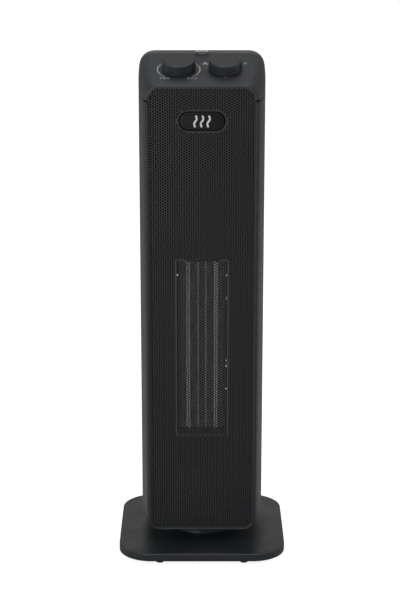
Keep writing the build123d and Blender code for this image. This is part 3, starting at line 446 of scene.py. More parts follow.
# %% Walls along open edges
def wall_up(bm, front_y, back_y):
    """Closes a two-faced sheet by bridging each open front edge to its twin behind."""
    back = {(round(v.co.x, 6), round(v.co.z, 6)): v for v in bm.verts
            if abs(v.co.y - back_y) < SAME_PLACE}
    edges = [e for e in bm.edges if e.is_boundary
             and all(abs(v.co.y - front_y) < SAME_PLACE for v in e.verts)]
    for edge in edges:
        a, b = edge.verts
        c, d = (back.get((round(v.co.x, 6), round(v.co.z, 6))) for v in (b, a))
        if c and d:
            bm.faces.new((a, b, c, d))


# %% Edges that the border has to fill between
source = bmesh.new()
source.from_mesh(field.data)
open_edges = [e for e in source.edges if e.is_boundary
              and all(abs(v.co.y - sheet_low.y) < SAME_PLACE for v in e.verts)]
border_points, border_index, border_edges = [], {}, []


def border_vertex(point):
    """Index of a point, which is added only once."""
    key = (round(point.x, 6), round(point.y, 6))
    if key not in border_index:
        border_index[key] = len(border_points)
        border_points.append(Vector(point))
    return border_index[key]


for edge in open_edges:
    border_edges.append(tuple(border_vertex(Vector((v.co.x, v.co.z))) for v in edge.verts))
for loop in (sheet_outline(), badge_outline(BADGE_GAP)):
    for i, point in enumerate(loop):
        a, b = border_vertex(point), border_vertex(loop[(i + 1) % len(loop)])
        if a != b:
            border_edges.append((a, b))
tiles = set()
for vert in source.verts:
    if abs(vert.co.y - sheet_low.y) < SAME_PLACE:
        tiles.add((round(vert.co.x, 5), round(vert.co.z, 5)))


def in_field(point):
    """Whether a point is over a kept tile: that tile's hole has its rightmost point there."""
    column = math.floor(point.x / COLUMN_PITCH)
    lift = (column % 2) * ROW_PITCH / 2
    row = math.floor((point.y - FIELD_Z0 - lift) / ROW_PITCH)
    if not (-COLUMNS / 2 <= column < COLUMNS / 2 and 0 <= row < ROWS):
        return False
    x = column * COLUMN_PITCH + COLUMN_PITCH / 2 + HOLE_R
    z = FIELD_Z0 + lift + row * ROW_PITCH + ROW_PITCH / 2
    return (round(x, 5), round(z, 5)) in tiles


# %% Fill the border
made = delaunay_2d_cdt(border_points, border_edges, [], 0, 1e-7)
flat_points, flat_faces = made[0], made[2]
border = bmesh.new()
front = [border.verts.new((p.x, sheet_low.y, p.y)) for p in flat_points]
back = [border.verts.new((p.x, sheet_high.y, p.y)) for p in flat_points]
for face in flat_faces:
    centre = sum((flat_points[i] for i in face), Vector((0, 0))) / len(face)
    reach = max(abs(centre.x) - badge_straight, 0)
    in_badge = math.hypot(reach, centre.y - badge_mid.z) < badge_half_h + BADGE_GAP
    on_sheet = inside_round(centre, sheet_high.x, sheet_low.z, sheet_high.z, SHEET_R_LOW, SHEET_R_HIGH)
    if on_sheet and not in_badge and not in_field(centre):
        border.faces.new([front[i] for i in face])
        border.faces.new([back[i] for i in reversed(face)])
bmesh.ops.delete(border, geom=[v for v in border.verts if not v.link_faces], context="VERTS")
wall_up(border, sheet_low.y, sheet_high.y)
grille_border = piece_from("grille_border", border, "grille_metal", smooth=False)
print("border", len(grille_border.data.polygons), "faces")


# %% Split the field into a lower and an upper piece, between two rows of holes
split_z = FIELD_Z0 + ROW_PITCH * (ROWS // 2)


def is_low(face):
    """Whether a face is under the split, which steps up and down with the columns."""
    centre = face.calc_center_median()
    lift = (math.floor(centre.x / COLUMN_PITCH) % 2) * ROW_PITCH / 2
    return centre.z - lift < split_z


for name, keep_low in (("grille_lower", True), ("grille_upper", False)):
    half = source.copy()
    gone = [face for face in half.faces if is_low(face) != keep_low]
    bmesh.ops.delete(half, geom=gone, context="FACES")
    wall_up(half, sheet_low.y, sheet_high.y)
    place(piece_from(name, half, "grille_metal", smooth=False), "tower", "front_grille", slot="grille_metal")
source.free()
bpy.data.objects.remove(field)
place(grille_border, "tower", "front_grille", slot="grille_metal")


# %% [markdown]
# ## The front frame
# The dark rim round the grille is a moulded frame with a soft, rounded nose. A rim like this is a profile
# that follows a path. Two outlines with the same number of stations, one outside and one at the lip, let
# the profile stretch between them, so the rim can be wide at the sides and thin at the bottom.

# %% Sweep the rim between two outlines
frame_low, frame_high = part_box("front_frame")
RIM_SIDE, RIM_BOTTOM, LAP = 5.0 * MM, 3.0 * MM, 1.7 * MM
OUTER_R, LIP_R, FRONT_HALF = 15.0 * MM, 11.0 * MM, 65.5 * MM


def u_outline(half, z0, radius, z1, turns=12):
    """Stations from the top left, down round the bottom corners, to the top right."""
    left = [(-half, z1 + (z0 + radius - z1) * i / 6) for i in range(6)]
    arc = [(-half + radius - radius * math.cos(t), z0 + radius - radius * math.sin(t))
           for t in (math.pi / 2 * i / turns for i in range(turns + 1))]
    right = [(-x, z) for x, z in reversed(left + arc)]
    return left + arc + right


def rim_mesh():
    """The frame's section at each station, joined into one closed sweep."""
    top = frame_high.z
    outer = u_outline(FRONT_HALF, frame_low.z, OUTER_R, top)
    back = u_outline(frame_high.x, frame_low.z, OUTER_R, top)
    lip = u_outline(FRONT_HALF - RIM_SIDE, frame_low.z + RIM_BOTTOM, LIP_R, top)
    recess = u_outline(FRONT_HALF - RIM_SIDE + LAP, frame_low.z + RIM_BOTTOM - LAP, LIP_R + LAP, top)
    y0, y1 = frame_low.y, frame_high.y
    lip_y = sheet_low.y
    nose = [(0.0, y0 + 2.2 * MM), (0.03, y0 + 1.3 * MM), (0.10, y0 + 0.6 * MM), (0.22, y0 + 0.15 * MM),
            (0.38, y0), (0.62, y0), (0.80, y0 + 0.12 * MM), (0.93, y0 + 0.5 * MM), (1.0, y0 + 1.1 * MM),
            (1.0, lip_y)]
    bm = bmesh.new()
    rows = []
    for (ox, oz), (bx, bz), (lx, lz), (rx, rz) in zip(outer, back, lip, recess):
        row = [(bx, y1, bz)]
        row += [(ox + (lx - ox) * t, y, oz + (lz - oz) * t) for t, y in nose]
        row += [(rx, lip_y, rz), (rx, y1, rz)]
        rows.append([bm.verts.new(p) for p in row])
    for a, b in zip(rows, rows[1:]):
        for i in range(len(a)):
            j = (i + 1) % len(a)
            bm.faces.new((a[i], b[i], b[j], a[j]))
    bm.faces.new(rows[0])
    bm.faces.new(list(reversed(rows[-1])))
    return bm


place(piece_from("front_rim", rim_mesh(), "front_plastic"), "tower", "front_frame", slot="front_plastic")


# %% [markdown]
# ## Softening the cap, the badge and the base
# A moulded edge is never razor sharp, and its small radius is what catches a line of light. A CAD mesh
# stays as it is, so a welded copy of it gets a Bevel modifier that works only on sharp edges.

# %% A bevelled copy of a CAD node
def softened(node, width, body, angle=38.0, segments=3):
    """A welded copy of a CAD node with its sharp edges rounded."""
    bm = bmesh.new()
    bm.from_mesh(frame["nodes"][node].data)
    bmesh.ops.remove_doubles(bm, verts=bm.verts, dist=0.001 * MM)
    bmesh.ops.dissolve_limit(bm, angle_limit=math.radians(0.5), verts=bm.verts, edges=bm.edges)
    piece = piece_from(node + "_soft", bm, slot_of[node], angle=30)
    bevel = piece.modifiers.new("edge", "BEVEL")
    bevel.width, bevel.segments = width, segments
    bevel.limit_method, bevel.angle_limit = "ANGLE", math.radians(angle)
    bevel.use_clamp_overlap, bevel.harden_normals = True, False
    rounded = baked(piece)
    piece.modifiers.clear()
    piece.data = rounded
    rounded.shade_smooth()
    rounded.set_sharp_from_angle(angle=math.radians(28))
    return place(piece, body, node, slot=slot_of[node])


softened("top_cap", 0.9 * MM, "tower")
softened("front_badge", 0.35 * MM, "tower")
softened("base_top", 1.6 * MM, "base")


# %% [markdown]
# ## The turn knobs
# A knob is a lathe shape, so its profile is drawn once and spun. Its grip is a ring of fine upright
# ribs, a repeating thing, which a node tree places by turning one rib about the axis again and again.
# Both knobs are built on their own axis first, and the joint in the record says where that axis is.

# %% Spin a profile about Z
def lathe(bm, profile, segments):
    """Spins (radius, height) points about Z. A point on the axis becomes a pole."""
    rings = []
    for radius, height in profile:
        if radius < 1e-7:
            rings.append([bm.verts.new((0, 0, height))])
        else:
            turns = [2 * math.pi * i / segments for i in range(segments)]
            rings.append([bm.verts.new((radius * math.cos(t), radius * math.sin(t), height)) for t in turns])
    for a, b in zip(rings, rings[1:]):
        for i in range(segments):
            j = (i + 1) % segments
            corners = [a[i % len(a)], a[j % len(a)], b[j % len(b)], b[i % len(b)]]
            bm.faces.new(list(dict.fromkeys(corners)))


# %% A tube through rings of points
def skin(bm, rings):
    """Walls from each ring to the next, and a lid on the first and the last."""
    for a, b in zip(rings, rings[1:]):
        for i in range(len(a)):
            j = (i + 1) % len(a)
            bm.faces.new((a[i], a[j], b[j], b[i]))
    bm.faces.new(list(reversed(rings[0])))
    bm.faces.new(rings[-1])


# %% Knob body and pointer notch
KNOB_R, KNOB_TOP_R, KNOB_H, KNOB_GAP = 19.75 * MM, 18.35 * MM, 12.3 * MM, 0.5 * MM
RIB_DEPTH, RIBS = 0.35 * MM, 72
SOCKET_R, SOCKET_ROOF = 15.3 * MM, 2.9 * MM      # hollow under the knob, and the wall above it
GRIP_MID, GRIP_TOP, ROUND_FROM = 6.0 * MM, 10.6 * MM, 10.9 * MM
KNOB_STEPS, ROUND_STEPS = 144, 6
NOTCH_SIZE, NOTCH_IN, NOTCH_ROUND = (2.4 * MM, 7.5 * MM, 3.6 * MM), 2.6 * MM, 0.4 * MM
joint_of = {joint["name"]: joint for joint in frame["joints"]}


def knob_side(height):
    """Radius of the tapered grip at a height, to the tips of the ribs."""
    return KNOB_R + (KNOB_TOP_R - KNOB_R) * (height - KNOB_GAP) / (KNOB_H - KNOB_GAP)


def knob_body(name):
    """A hollow tapered knob with a rounded top edge, a faint dish and a pointer notch."""
    root = RIB_DEPTH + 0.05 * MM
    foot_r = knob_side(KNOB_GAP) - root
    profile = [(0, KNOB_H - SOCKET_ROOF), (SOCKET_R, KNOB_H - SOCKET_ROOF),
               (SOCKET_R + 0.3 * MM, KNOB_GAP + 0.1 * MM), (foot_r - 0.3 * MM, KNOB_GAP),
               (foot_r, KNOB_GAP + 0.3 * MM)]
    profile += [(knob_side(height) - root, height) for height in (GRIP_MID, GRIP_TOP)]
    edge_r = knob_side(ROUND_FROM) - 0.02 * MM
    bend = KNOB_H - ROUND_FROM
    for i in range(ROUND_STEPS + 1):
        t = math.pi / 2 * i / ROUND_STEPS
        profile.append((edge_r - bend * (1 - math.cos(t)), ROUND_FROM + bend * math.sin(t)))
    profile += [(11 * MM, KNOB_H - 0.05 * MM), (5 * MM, KNOB_H - 0.12 * MM), (0, KNOB_H - 0.15 * MM)]
    bm = bmesh.new()
    lathe(bm, profile, KNOB_STEPS)
    body = piece_from(name, bm, "knob_plastic", angle=40)
    cutter = bmesh.new()
    bmesh.ops.create_cube(cutter, size=1.0)
    bmesh.ops.scale(cutter, vec=NOTCH_SIZE, verts=cutter.verts)
    bmesh.ops.translate(cutter, vec=(0, KNOB_TOP_R - NOTCH_IN, KNOB_H), verts=cutter.verts)
    bmesh.ops.bevel(cutter, geom=cutter.edges[:], offset=NOTCH_ROUND, segments=3, affect="EDGES",
                    profile=0.5)
    notch = tool("notch", cutter)
    cut = body.modifiers.new("notch", "BOOLEAN")
    cut.operation, cut.object, cut.solver = "DIFFERENCE", notch, "EXACT"
    body.data = baked(body)
    body.modifiers.clear()
    body.data.set_sharp_from_angle(angle=math.radians(40))
    bpy.data.objects.remove(notch)
    return body


# %% Grip ribs as a node tree
def rib_shape():
    """One rib on the +X side: a low ridge that fades at both ends."""
    bm = bmesh.new()
    half = 0.42 * MM
    rows = []
    stations = ((1.2, 0.0), (1.7, 0.8), (2.4, 1.0), (6.0, 1.0), (9.6, 1.0), (10.2, 0.8), (10.7, 0.0))
    for height, rise in stations:
        z = height * MM
        root = knob_side(z) - RIB_DEPTH - 0.25 * MM
        tip = knob_side(z) - RIB_DEPTH * (1 - rise)
        ring = [(root, -half), (root + 0.2 * MM, -half), (tip, -half * 0.35), (tip, half * 0.35),
                (root + 0.2 * MM, half), (root, half)]
        rows.append([bm.verts.new((x, y, z)) for x, y in ring])
    skin(bm, rows)
    bmesh.ops.recalc_face_normals(bm, faces=bm.faces)
    return tool("rib", bm)


def round_array(name, material):
    """Turns one shape about Z, Count times."""
    tree, given = new_tree(name, **{"Shape": bpy.data.objects[0], "Count": 2})
    line = wire(tree, "GeometryNodeMeshLine", {"Count": given["Count"], "Offset": (0, 0, 0)}).outputs[0]
    step = calc(tree, "DIVIDE", 2 * math.pi, given["Count"])
    turn = calc(tree, "MULTIPLY", wire(tree, "GeometryNodeInputIndex").outputs[0], step)
    spin = wire(tree, "ShaderNodeCombineXYZ", {"Z": turn}).outputs[0]
    close_tree(tree, copies_on(tree, line, given["Shape"], Rotation=spin), finish[material])
    return tree


def on_axis(joint):
    """Matrix from a knob's own frame to the heater: its Z along the joint axis, its X to the right."""
    normal = Vector(joint["axis"]).normalized()
    across = Vector((1, 0, 0))
    up = normal.cross(across)
    turn = Matrix((across, up, normal)).transposed().to_4x4()
    return Matrix.Translation(Vector(joint["pos_m"])) @ turn


rib = rib_shape()
for key, body in (("thermostat", "thermostat_dial"), ("mode", "mode_dial")):
    array = round_array(key + "_ribs", "knob_plastic")
    ribs = run_tree(key + "_ribs", array, **{"Shape": rib, "Count": RIBS})
    knob = join(key + "_knob_body", knob_body(key + "_knob_body"), ribs)
    knob.data.materials.clear()
    knob.data.materials.append(finish["knob_plastic"])
    knob.data.transform(on_axis(joint_of[key + "_turn"]))
    place(knob, body, key + "_knob", slot="knob_plastic")
bpy.data.objects.remove(rib)


# %% [markdown]
# ## Printed marks on the panel
# Pad-printed marks are a film of paint a tenth of a millimetre thick. They are built as very thin solids
# that sit on the panel: a swelling arc round the thermostat, the words at its two ends, a fan sign and
# short ticks round the mode knob. Text starts as a font curve and is made a mesh before it is placed.

# %% Flat marks in a knob's own frame
PRINT_T, PRINT_GAP = 0.10 * MM, 0.01 * MM      # top of the paint, and its underside off the panel


def slab(bm, points):
    """A thin prism over a flat outline."""
    skin(bm, [[bm.verts.new((x, y, z)) for x, y in points] for z in (PRINT_GAP, PRINT_T)])


def swelling_arc(bm, radius, start, end, thin, swell, steps=90, widest=92, spread=34):
    """An arc about the knob, in degrees from twelve o'clock, that swells at an angle on each side."""
    sides = ([], [])
    for i in range(steps + 1):
        turn = start + (end - start) * i / steps
        width = thin + swell * math.exp(-((abs(turn) - widest) / spread) ** 2)
        for side, sign in zip(sides, (-1, 1)):
            r, t = radius + sign * width / 2, math.radians(90 - turn)
            side.append((r * math.cos(t), r * math.sin(t)))
    slab(bm, sides[0] + sides[1][::-1])


def tick(bm, x, y, width, height, lean=0.0):
    """A small bar about a point, turned by a lean in degrees."""
    turn = Matrix.Rotation(math.radians(lean), 2)
    corners = [Vector((sx * width / 2, sy * height / 2)) for sx, sy in ((-1, -1), (1, -1), (1, 1), (-1, 1))]
    slab(bm, [tuple(turn @ corner + Vector((x, y))) for corner in corners])


def fan_sign(bm, x, y, size):
    """Three round petals about a small hub."""
    reach, petal, hub = 0.30 * size, 0.20 * size, 0.10 * size
    rounds = [(x, y, hub)] + [(x + reach * math.cos(t), y + reach * math.sin(t), petal)
                              for t in (math.radians(90 + 120 * i) for i in range(3))]
    for cx, cy, radius in rounds:
        turns = [math.pi * i / 8 for i in range(16)]
        slab(bm, [(cx + radius * math.cos(t), cy + radius * math.sin(t)) for t in turns])


def word(text, x, y, width, height):
    """A generic word as a thin mesh, fitted to a width and a height, centred on a point."""
    curve = bpy.data.curves.new("word", "FONT")
    curve.body, curve.extrude = text, 0.02
    item = shown("word", curve)
    mesh = baked(item)
    bpy.data.objects.remove(item)
    xs, ys, zs = ([v.co[i] for v in mesh.vertices] for i in range(3))
    scale = (width / (max(xs) - min(xs)), height / (max(ys) - min(ys)), PRINT_T / (max(zs) - min(zs)))
    middle = Vector(((max(xs) + min(xs)) / 2, (max(ys) + min(ys)) / 2, min(zs)))
    mesh.transform(Matrix.Translation((x, y, PRINT_GAP)) @ Matrix.Diagonal((*scale, 1))
                   @ Matrix.Translation(-middle))
    bm = bmesh.new()
    bm.from_mesh(mesh)
    bmesh.ops.remove_doubles(bm, verts=bm.verts, dist=0.001 * MM)
    return piece_from("word", bm, "print_grey", smooth=False)


# %% Marks of the thermostat: an arc with a word at each end
def printed(name, joint, marks, words):
    """The marks and words of one knob as one piece, laid on the panel about the knob's axis."""
    parts = [piece_from(name, marks, "print_grey", smooth=False)]
    parts += [word(text, *(size * MM for size in sizes)) for text, *sizes in words]
    piece = join(name, *parts)
    piece.data.transform(on_axis(joint_of[joint]))
    place(piece, "tower", slot="print_white")


ARC_R, ARC_END, ARC_THIN, ARC_SWELL = 24.5 * MM, 141, 0.45 * MM, 0.95 * MM
marks = bmesh.new()
swelling_arc(marks, ARC_R, -ARC_END, ARC_END, ARC_THIN, ARC_SWELL)
printed("thermostat_marks", "thermostat_turn", marks,
        [("MIN", -15.8, -22.6, 10.2, 4.0), ("MAX", 15.8, -22.6, 11.2, 4.0)])

# %% Marks of the mode knob: a fan sign, two bars, a 0 and pointer ticks
marks = bmesh.new()
fan_sign(marks, -23.0 * MM, 15.2 * MM, 7.6 * MM)
ticks = ((-17.4, 13.0, 2.6, 0.8, -28), (18.2, 14.0, 2.4, 0.8, 30), (22.3, 15.6, 0.9, 4.0, 0),
         (24.4, 15.6, 0.9, 4.0, 0), (0, -20.4, 2.2, 0.7, 0))
for x, y, width, height, lean in ticks:
    tick(marks, x * MM, y * MM, width * MM, height * MM, lean)
printed("mode_marks", "mode_turn", marks, [("0", 0, 25.6, 2.6, 3.8)])


# %% [markdown]
# ## Air fins in the heater
# Between the heating tubes lies thin aluminium strip, folded to and fro like a concertina. One fold is
# drawn, and a node tree stacks it up the heater. The CAD ladder of fins stands in for it there.

# %% Folded strip as a node tree
packs_low, packs_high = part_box("fin_packs")
FOLD_PITCH, STRIP_T, BEND_H = 2.9 * MM, 0.20 * MM, 0.26 * MM
SIDE_GAP, DEPTH_GAP, FOOT_GAP = 0.15 * MM, 0.4 * MM, 0.2 * MM      # strip to tubes, faces and foot


def fold_shape(width, depth_low, depth_high):
    """One fold of strip: across and back, with flattened bends at the two sides. Its two ends stay
    open, because the next fold carries on there."""
    bm = bmesh.new()
    half, flat = width / 2 - SIDE_GAP, BEND_H
    inner, turn, mid = half - STRIP_T, flat - STRIP_T, FOLD_PITCH / 2
    sides = [((-half, 0), (-inner, 0)), ((-half, flat), (-inner, turn)),
             ((inner, mid - turn), (half, mid - flat)), ((inner, mid + turn), (half, mid + flat)),
             ((-half, 2 * mid - flat), (-inner, 2 * mid - turn)), ((-half, 2 * mid), (-inner, 2 * mid))]
    rows = [[bm.verts.new((x, y, z)) for x, z in pair for y in (depth_low, depth_high)] for pair in sides]
    for a, b in zip(rows, rows[1:]):
        bm.faces.new((a[0], a[1], b[1], b[0]))
        bm.faces.new((a[2], b[2], b[3], a[3]))
        bm.faces.new((a[0], b[0], b[2], a[2]))
        bm.faces.new((a[1], a[3], b[3], b[1]))
    return tool("fold", bm)


def stack_tree(material):
    """Stacks a shape upwards, Count times."""
    tree, given = new_tree("stack", **{"Shape": bpy.data.objects[0], "Count": 2, "Pitch": 0.1,
                                       "X": 0.1, "Z": 0.1})
    offset = wire(tree, "ShaderNodeCombineXYZ", {"Z": given["Pitch"]}).outputs[0]
    start = wire(tree, "ShaderNodeCombineXYZ", {"X": given["X"], "Z": given["Z"]}).outputs[0]
    line = wire(tree, "GeometryNodeMeshLine", {"Count": given["Count"], "Start Location": start,
                                               "Offset": offset}).outputs[0]
    close_tree(tree, copies_on(tree, line, given["Shape"]), finish[material])
    return tree


tube_low, tube_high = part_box("heating_tubes")
strip_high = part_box("contact_strips")[1]
TUBE_W, STRIP_W, SLOT = 4.3 * MM, 2.0 * MM, 1.6 * MM
spans = []
for sign in (-1, 1):
    spans.append(sorted((sign * (packs_high.x - SLOT), sign * tube_high.x)))
    spans.append(sorted((sign * (tube_high.x - TUBE_W), sign * strip_high.x)))
spans.append((-strip_high.x + STRIP_W, strip_high.x - STRIP_W))


def weld_stack(piece):
    """Folds joined into one strip, closed at its two ends, with its faces outwards."""
    bm = bmesh.new()
    bm.from_mesh(piece.data)
    bmesh.ops.remove_doubles(bm, verts=bm.verts, dist=0.001 * MM)
    bmesh.ops.holes_fill(bm, edges=[edge for edge in bm.edges if edge.is_boundary])
    bmesh.ops.recalc_face_normals(bm, faces=bm.faces)
    bm.to_mesh(piece.data)
    bm.free()
    return piece


stack = stack_tree("fin_aluminium")
folds = int((packs_high.z - packs_low.z) / FOLD_PITCH)
fins = []
for x0, x1 in spans:
    shape = fold_shape(x1 - x0, packs_low.y + DEPTH_GAP, packs_high.y - DEPTH_GAP)
    folded = run_tree("fins", stack, **{"Shape": shape, "Count": folds, "Pitch": FOLD_PITCH,
                                        "X": (x0 + x1) / 2, "Z": packs_low.z + FOOT_GAP})
    fins.append(weld_stack(folded))
    bpy.data.objects.remove(shape)
place(join("folded_fins", *fins), "tower", "fin_packs", slot="fin_aluminium")


# %% [markdown]
# ## The blower wheel
# The cross-flow wheel is a long drum of thin curved blades between two end discs. One curved blade and
# the same round array as the knob ribs make it.

# %% Curved blades and discs
wheel_low, wheel_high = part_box("blower_wheel")
wheel_mid = (wheel_low + wheel_high) / 2
WHEEL_R, BLADE_DEPTH, BLADES = (wheel_high.x - wheel_low.x) / 2, 7.0 * MM, 32
BLADE_HALF, BLADE_TIP, BLADE_STEPS = 0.3 * MM, 0.5 * MM, 8      # half thickness, tip below the disc edge
LEAN_IN, LEAN_RISE = -14, 20                                    # degrees at the root, and gained to the tip


def blade_shape():
    """One blade, curved from its root to its tip, that runs the height of the wheel."""
    bm = bmesh.new()
    rows = []
    for i in range(BLADE_STEPS + 1):
        t = i / BLADE_STEPS
        radius = WHEEL_R - BLADE_TIP - BLADE_DEPTH * (1 - t)
        lean = math.radians(LEAN_IN + LEAN_RISE * t * t)
        for half in (-BLADE_HALF, BLADE_HALF):
            turn = lean + half / radius
            rows.append((radius * math.cos(turn), radius * math.sin(turn)))
    loop = rows[0::2] + rows[1::2][::-1]
    low = [bm.verts.new((x, y, wheel_low.z + 1 * MM)) for x, y in loop]
    top = [bm.verts.new((x, y, wheel_high.z - 1 * MM)) for x, y in loop]
    for i in range(len(loop)):
        j = (i + 1) % len(loop)
        bm.faces.new((low[i], low[j], top[j], top[i]))
    for i in range(BLADE_STEPS):
        j = len(loop) - 1 - i
        bm.faces.new((low[i + 1], low[i], low[j], low[j - 1]))
        bm.faces.new((top[i], top[i + 1], top[j - 1], top[j]))
    bmesh.ops.recalc_face_normals(bm, faces=bm.faces)
    return tool("blade", bm)


blade = blade_shape()
array = round_array("blower_blades", "fin_aluminium")
blades = run_tree("blades", array, **{"Shape": blade, "Count": BLADES})
bpy.data.objects.remove(blade)
discs = bmesh.new()
shaft_r, hub_r, hub_h, disc_t = 2.55 * MM, 6 * MM, 10 * MM, 2 * MM
for z0, hub in ((wheel_low.z, 1), (wheel_high.z - disc_t, -1)):
    z1 = z0 + disc_t
    near, far = (z1, z0) if hub > 0 else (z0, z1)
    lathe(discs, [(shaft_r, near + hub * hub_h), (hub_r, near + hub * hub_h), (hub_r, near),
                  (WHEEL_R - 1.5 * MM, near), (WHEEL_R, near - hub * 0.4 * MM),
                  (WHEEL_R, far + hub * 0.2 * MM), (WHEEL_R - 0.3 * MM, far), (shaft_r, far),
                  (shaft_r, near + hub * hub_h)], 72)
mid_r = WHEEL_R - BLADE_DEPTH
lathe(discs, [(mid_r, wheel_mid.z - disc_t / 2), (WHEEL_R, wheel_mid.z - disc_t / 2),
              (WHEEL_R, wheel_mid.z + disc_t / 2), (mid_r, wheel_mid.z + disc_t / 2),
              (mid_r, wheel_mid.z - disc_t / 2)], 72)
bmesh.ops.remove_doubles(discs, verts=discs.verts, dist=0.001 * MM)
wheel = join("blower_drum", piece_from("blower_discs", discs, "fin_aluminium"), blades)
wheel.data.transform(Matrix.Translation((wheel_mid.x, wheel_mid.y, 0)))
place(wheel, "blower_rotor", "blower_wheel", slot="fin_aluminium")


# %% [markdown]
# ## Screws
# Every visible screw is a pan head with a cross recess. One screw is modelled, and a tree sets it on a
# list of points with one turn for them all. The points come from the CAD screws.

# %% One screw and a tree that sets it on points
def screw_shape(head_r, head_h, shank_r, length):
    """A pan head screw pointing down -Z from its head seat at the origin."""
    bm = bmesh.new()
    shank = [(0, -length), (shank_r * 0.4, -length), (shank_r, -length + 2 * shank_r), (shank_r, 0)]
    head = [(1.0, 0), (1.0, 0.45), (0.92, 0.75), (0.7, 0.95), (0.4, 1.0), (0, 1.0)]
    profile = shank + [(head_r * across, head_h * up) for across, up in head]
    lathe(bm, profile, 24)
    bmesh.ops.recalc_face_normals(bm, faces=bm.faces)
    body = tool("screw", bm)
    cross = bmesh.new()
    for turn in (0, 90):
        made = bmesh.ops.create_cube(cross, size=1.0)["verts"]
        bmesh.ops.scale(cross, vec=(head_r * 1.1, head_r * 0.26, head_h * 1.1), verts=made)
        spin = Matrix.Rotation(math.radians(turn), 3, "Z")
        bmesh.ops.rotate(cross, cent=(0, 0, 0), matrix=spin, verts=made)
        bmesh.ops.translate(cross, vec=(0, 0, head_h), verts=made)
    recess = tool("recess", cross)
    cut = body.modifiers.new("cut", "BOOLEAN")
    cut.operation, cut.object, cut.solver, cut.use_self = "DIFFERENCE", recess, "EXACT", True
    body.data = baked(body)
    body.modifiers.clear()
    bpy.data.objects.remove(recess)
    return body


def screw_tree():
    """Sets a screw on every point, tilted one way, each with its own turn of the cross."""
    tree, given = new_tree("screws", **{"Screw": bpy.data.objects[0], "Points": bpy.data.objects[0],
                                        "Tilt": 0.1})
    spots = wire(tree, "GeometryNodeObjectInfo", {"Object": given["Points"]}).outputs["Geometry"]
    drive = wire(tree, "FunctionNodeRandomValue", {"Min": (0, 0, 0), "Max": (0, 0, math.pi), "Seed": 4},
                 data_type="FLOAT_VECTOR").outputs[0]
    tilt = wire(tree, "ShaderNodeCombineXYZ", {"X": given["Tilt"]}).outputs[0]
    spun = copies_on(tree, spots, given["Screw"], Rotation=tilt)
    turned = wire(tree, "GeometryNodeRotateInstances", {"Instances": spun, "Rotation": drive})
    close_tree(tree, turned.outputs[0], finish["steel_screw"])
    return tree


def islands(node):
    """Lowest and highest corner of each separate solid in a CAD node."""
    bm = bmesh.new()
    bm.from_mesh(frame["nodes"][node].data)
    bmesh.ops.remove_doubles(bm, verts=bm.verts, dist=0.001 * MM)
    left, found = set(bm.verts), []
    while left:
        queue, group = [left.pop()], []
        while queue:
            vert = queue.pop()
            group.append(vert.co.copy())
            for edge in vert.link_edges:
                other = edge.other_vert(vert)
                if other in left:
                    left.remove(other)
                    queue.append(other)
        found.append(tuple(Vector(pick(p[i] for p in group) for i in range(3)) for pick in (min, max)))
    bm.free()
    return found


def set_screws(node, body, seats, tilt, **sizes):
    """Screws of one size on a list of seats, in place of a CAD node."""
    points = bmesh.new()
    for seat in seats:
        points.verts.new(seat)
    spots, shape = tool("spots", points), screw_shape(**sizes)
    piece = run_tree(node + "_cross", screw_tree(), **{"Screw": shape, "Points": spots, "Tilt": tilt})
    piece.data.shade_smooth()
    piece.data.set_sharp_from_angle(angle=math.radians(35))
    bpy.data.objects.remove(spots)
    bpy.data.objects.remove(shape)
    place(piece, body, node, slot="steel_screw")


rear = [((lo.x + hi.x) / 2, hi.y - 2.2 * MM, (lo.z + hi.z) / 2) for lo, hi in islands("housing_screws")]
set_screws("housing_screws", "tower", rear, tilt=-math.pi / 2,
           head_r=3.4 * MM, head_h=2.2 * MM, shank_r=1.68 * MM, length=22 * MM)
under = [((lo.x + hi.x) / 2, (lo.y + hi.y) / 2, lo.z + 1.0 * MM) for lo, hi in islands("base_screws")]
set_screws("base_screws", "base", under, tilt=math.pi,
           head_r=2.6 * MM, head_h=0.98 * MM, shank_r=1.38 * MM, length=4.7 * MM)


# %% [markdown]
# ## Details behind the grille
# A folded bead stands round the heater opening in the baffle, with its upper corners cut across. It is
# a square wire swept along a path, coloured light grey as a painted highlight along its edge. Two
# near-black strips beside the heater are painted shade for the dark gaps by the fins. Small domed rivets
# hold the heater frame, and their near-white is a painted glint; a node tree sets one domed rivet on each
# point.

# %% Bead round the heater opening
front_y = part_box("air_baffle")[0].y


def ribbon(bm, path, half_width, y0, y1):
    """A flat bar on edge that follows an open path in the front view."""
    rows = []
    for i, (x, z) in enumerate(path):
        before, after = path[max(i - 1, 0)], path[min(i + 1, len(path) - 1)]
        along = Vector((after[0] - before[0], after[1] - before[1])).normalized()
        dx, dz = -along.y * half_width, along.x * half_width
        rows.append([bm.verts.new(p) for p in ((x + dx, y0, z + dz), (x - dx, y0, z - dz),
                                               (x - dx, y1, z - dz), (x + dx, y1, z + dz))])
    skin(bm, rows)


BEAD_X, BEAD_HALF, SILL_HALF, SHADE_STRIP_X = 30.6 * MM, 0.40 * MM, 0.25 * MM, 26.9 * MM
bead = bmesh.new()
bead_top, bead_foot, bead_back = tube_high.z + 3.2 * MM, tube_low.z - 6 * MM, front_y - 0.02 * MM
for sign in (-1, 1):
    path = [(sign * BEAD_X, bead_foot), (sign * BEAD_X, bead_top - 1 * MM),
            (sign * (BEAD_X - 1 * MM), bead_top), (sign * (BEAD_X - 8 * MM), bead_top),
            (sign * (TUBE_W / 2 + 14 * MM), tube_high.z)]
    ribbon(bead, path, BEAD_HALF, front_y - 0.9 * MM, bead_back)
ribbon(bead, [(-BEAD_X, bead_foot), (BEAD_X, bead_foot)], SILL_HALF, front_y - 0.5 * MM, bead_back)
# The bead's light grey is a painted highlight along the edge of the opening.
place(piece_from("heater_bead", bead, "bead_highlight_grey", smooth=False), "tower", slot="front_plastic")
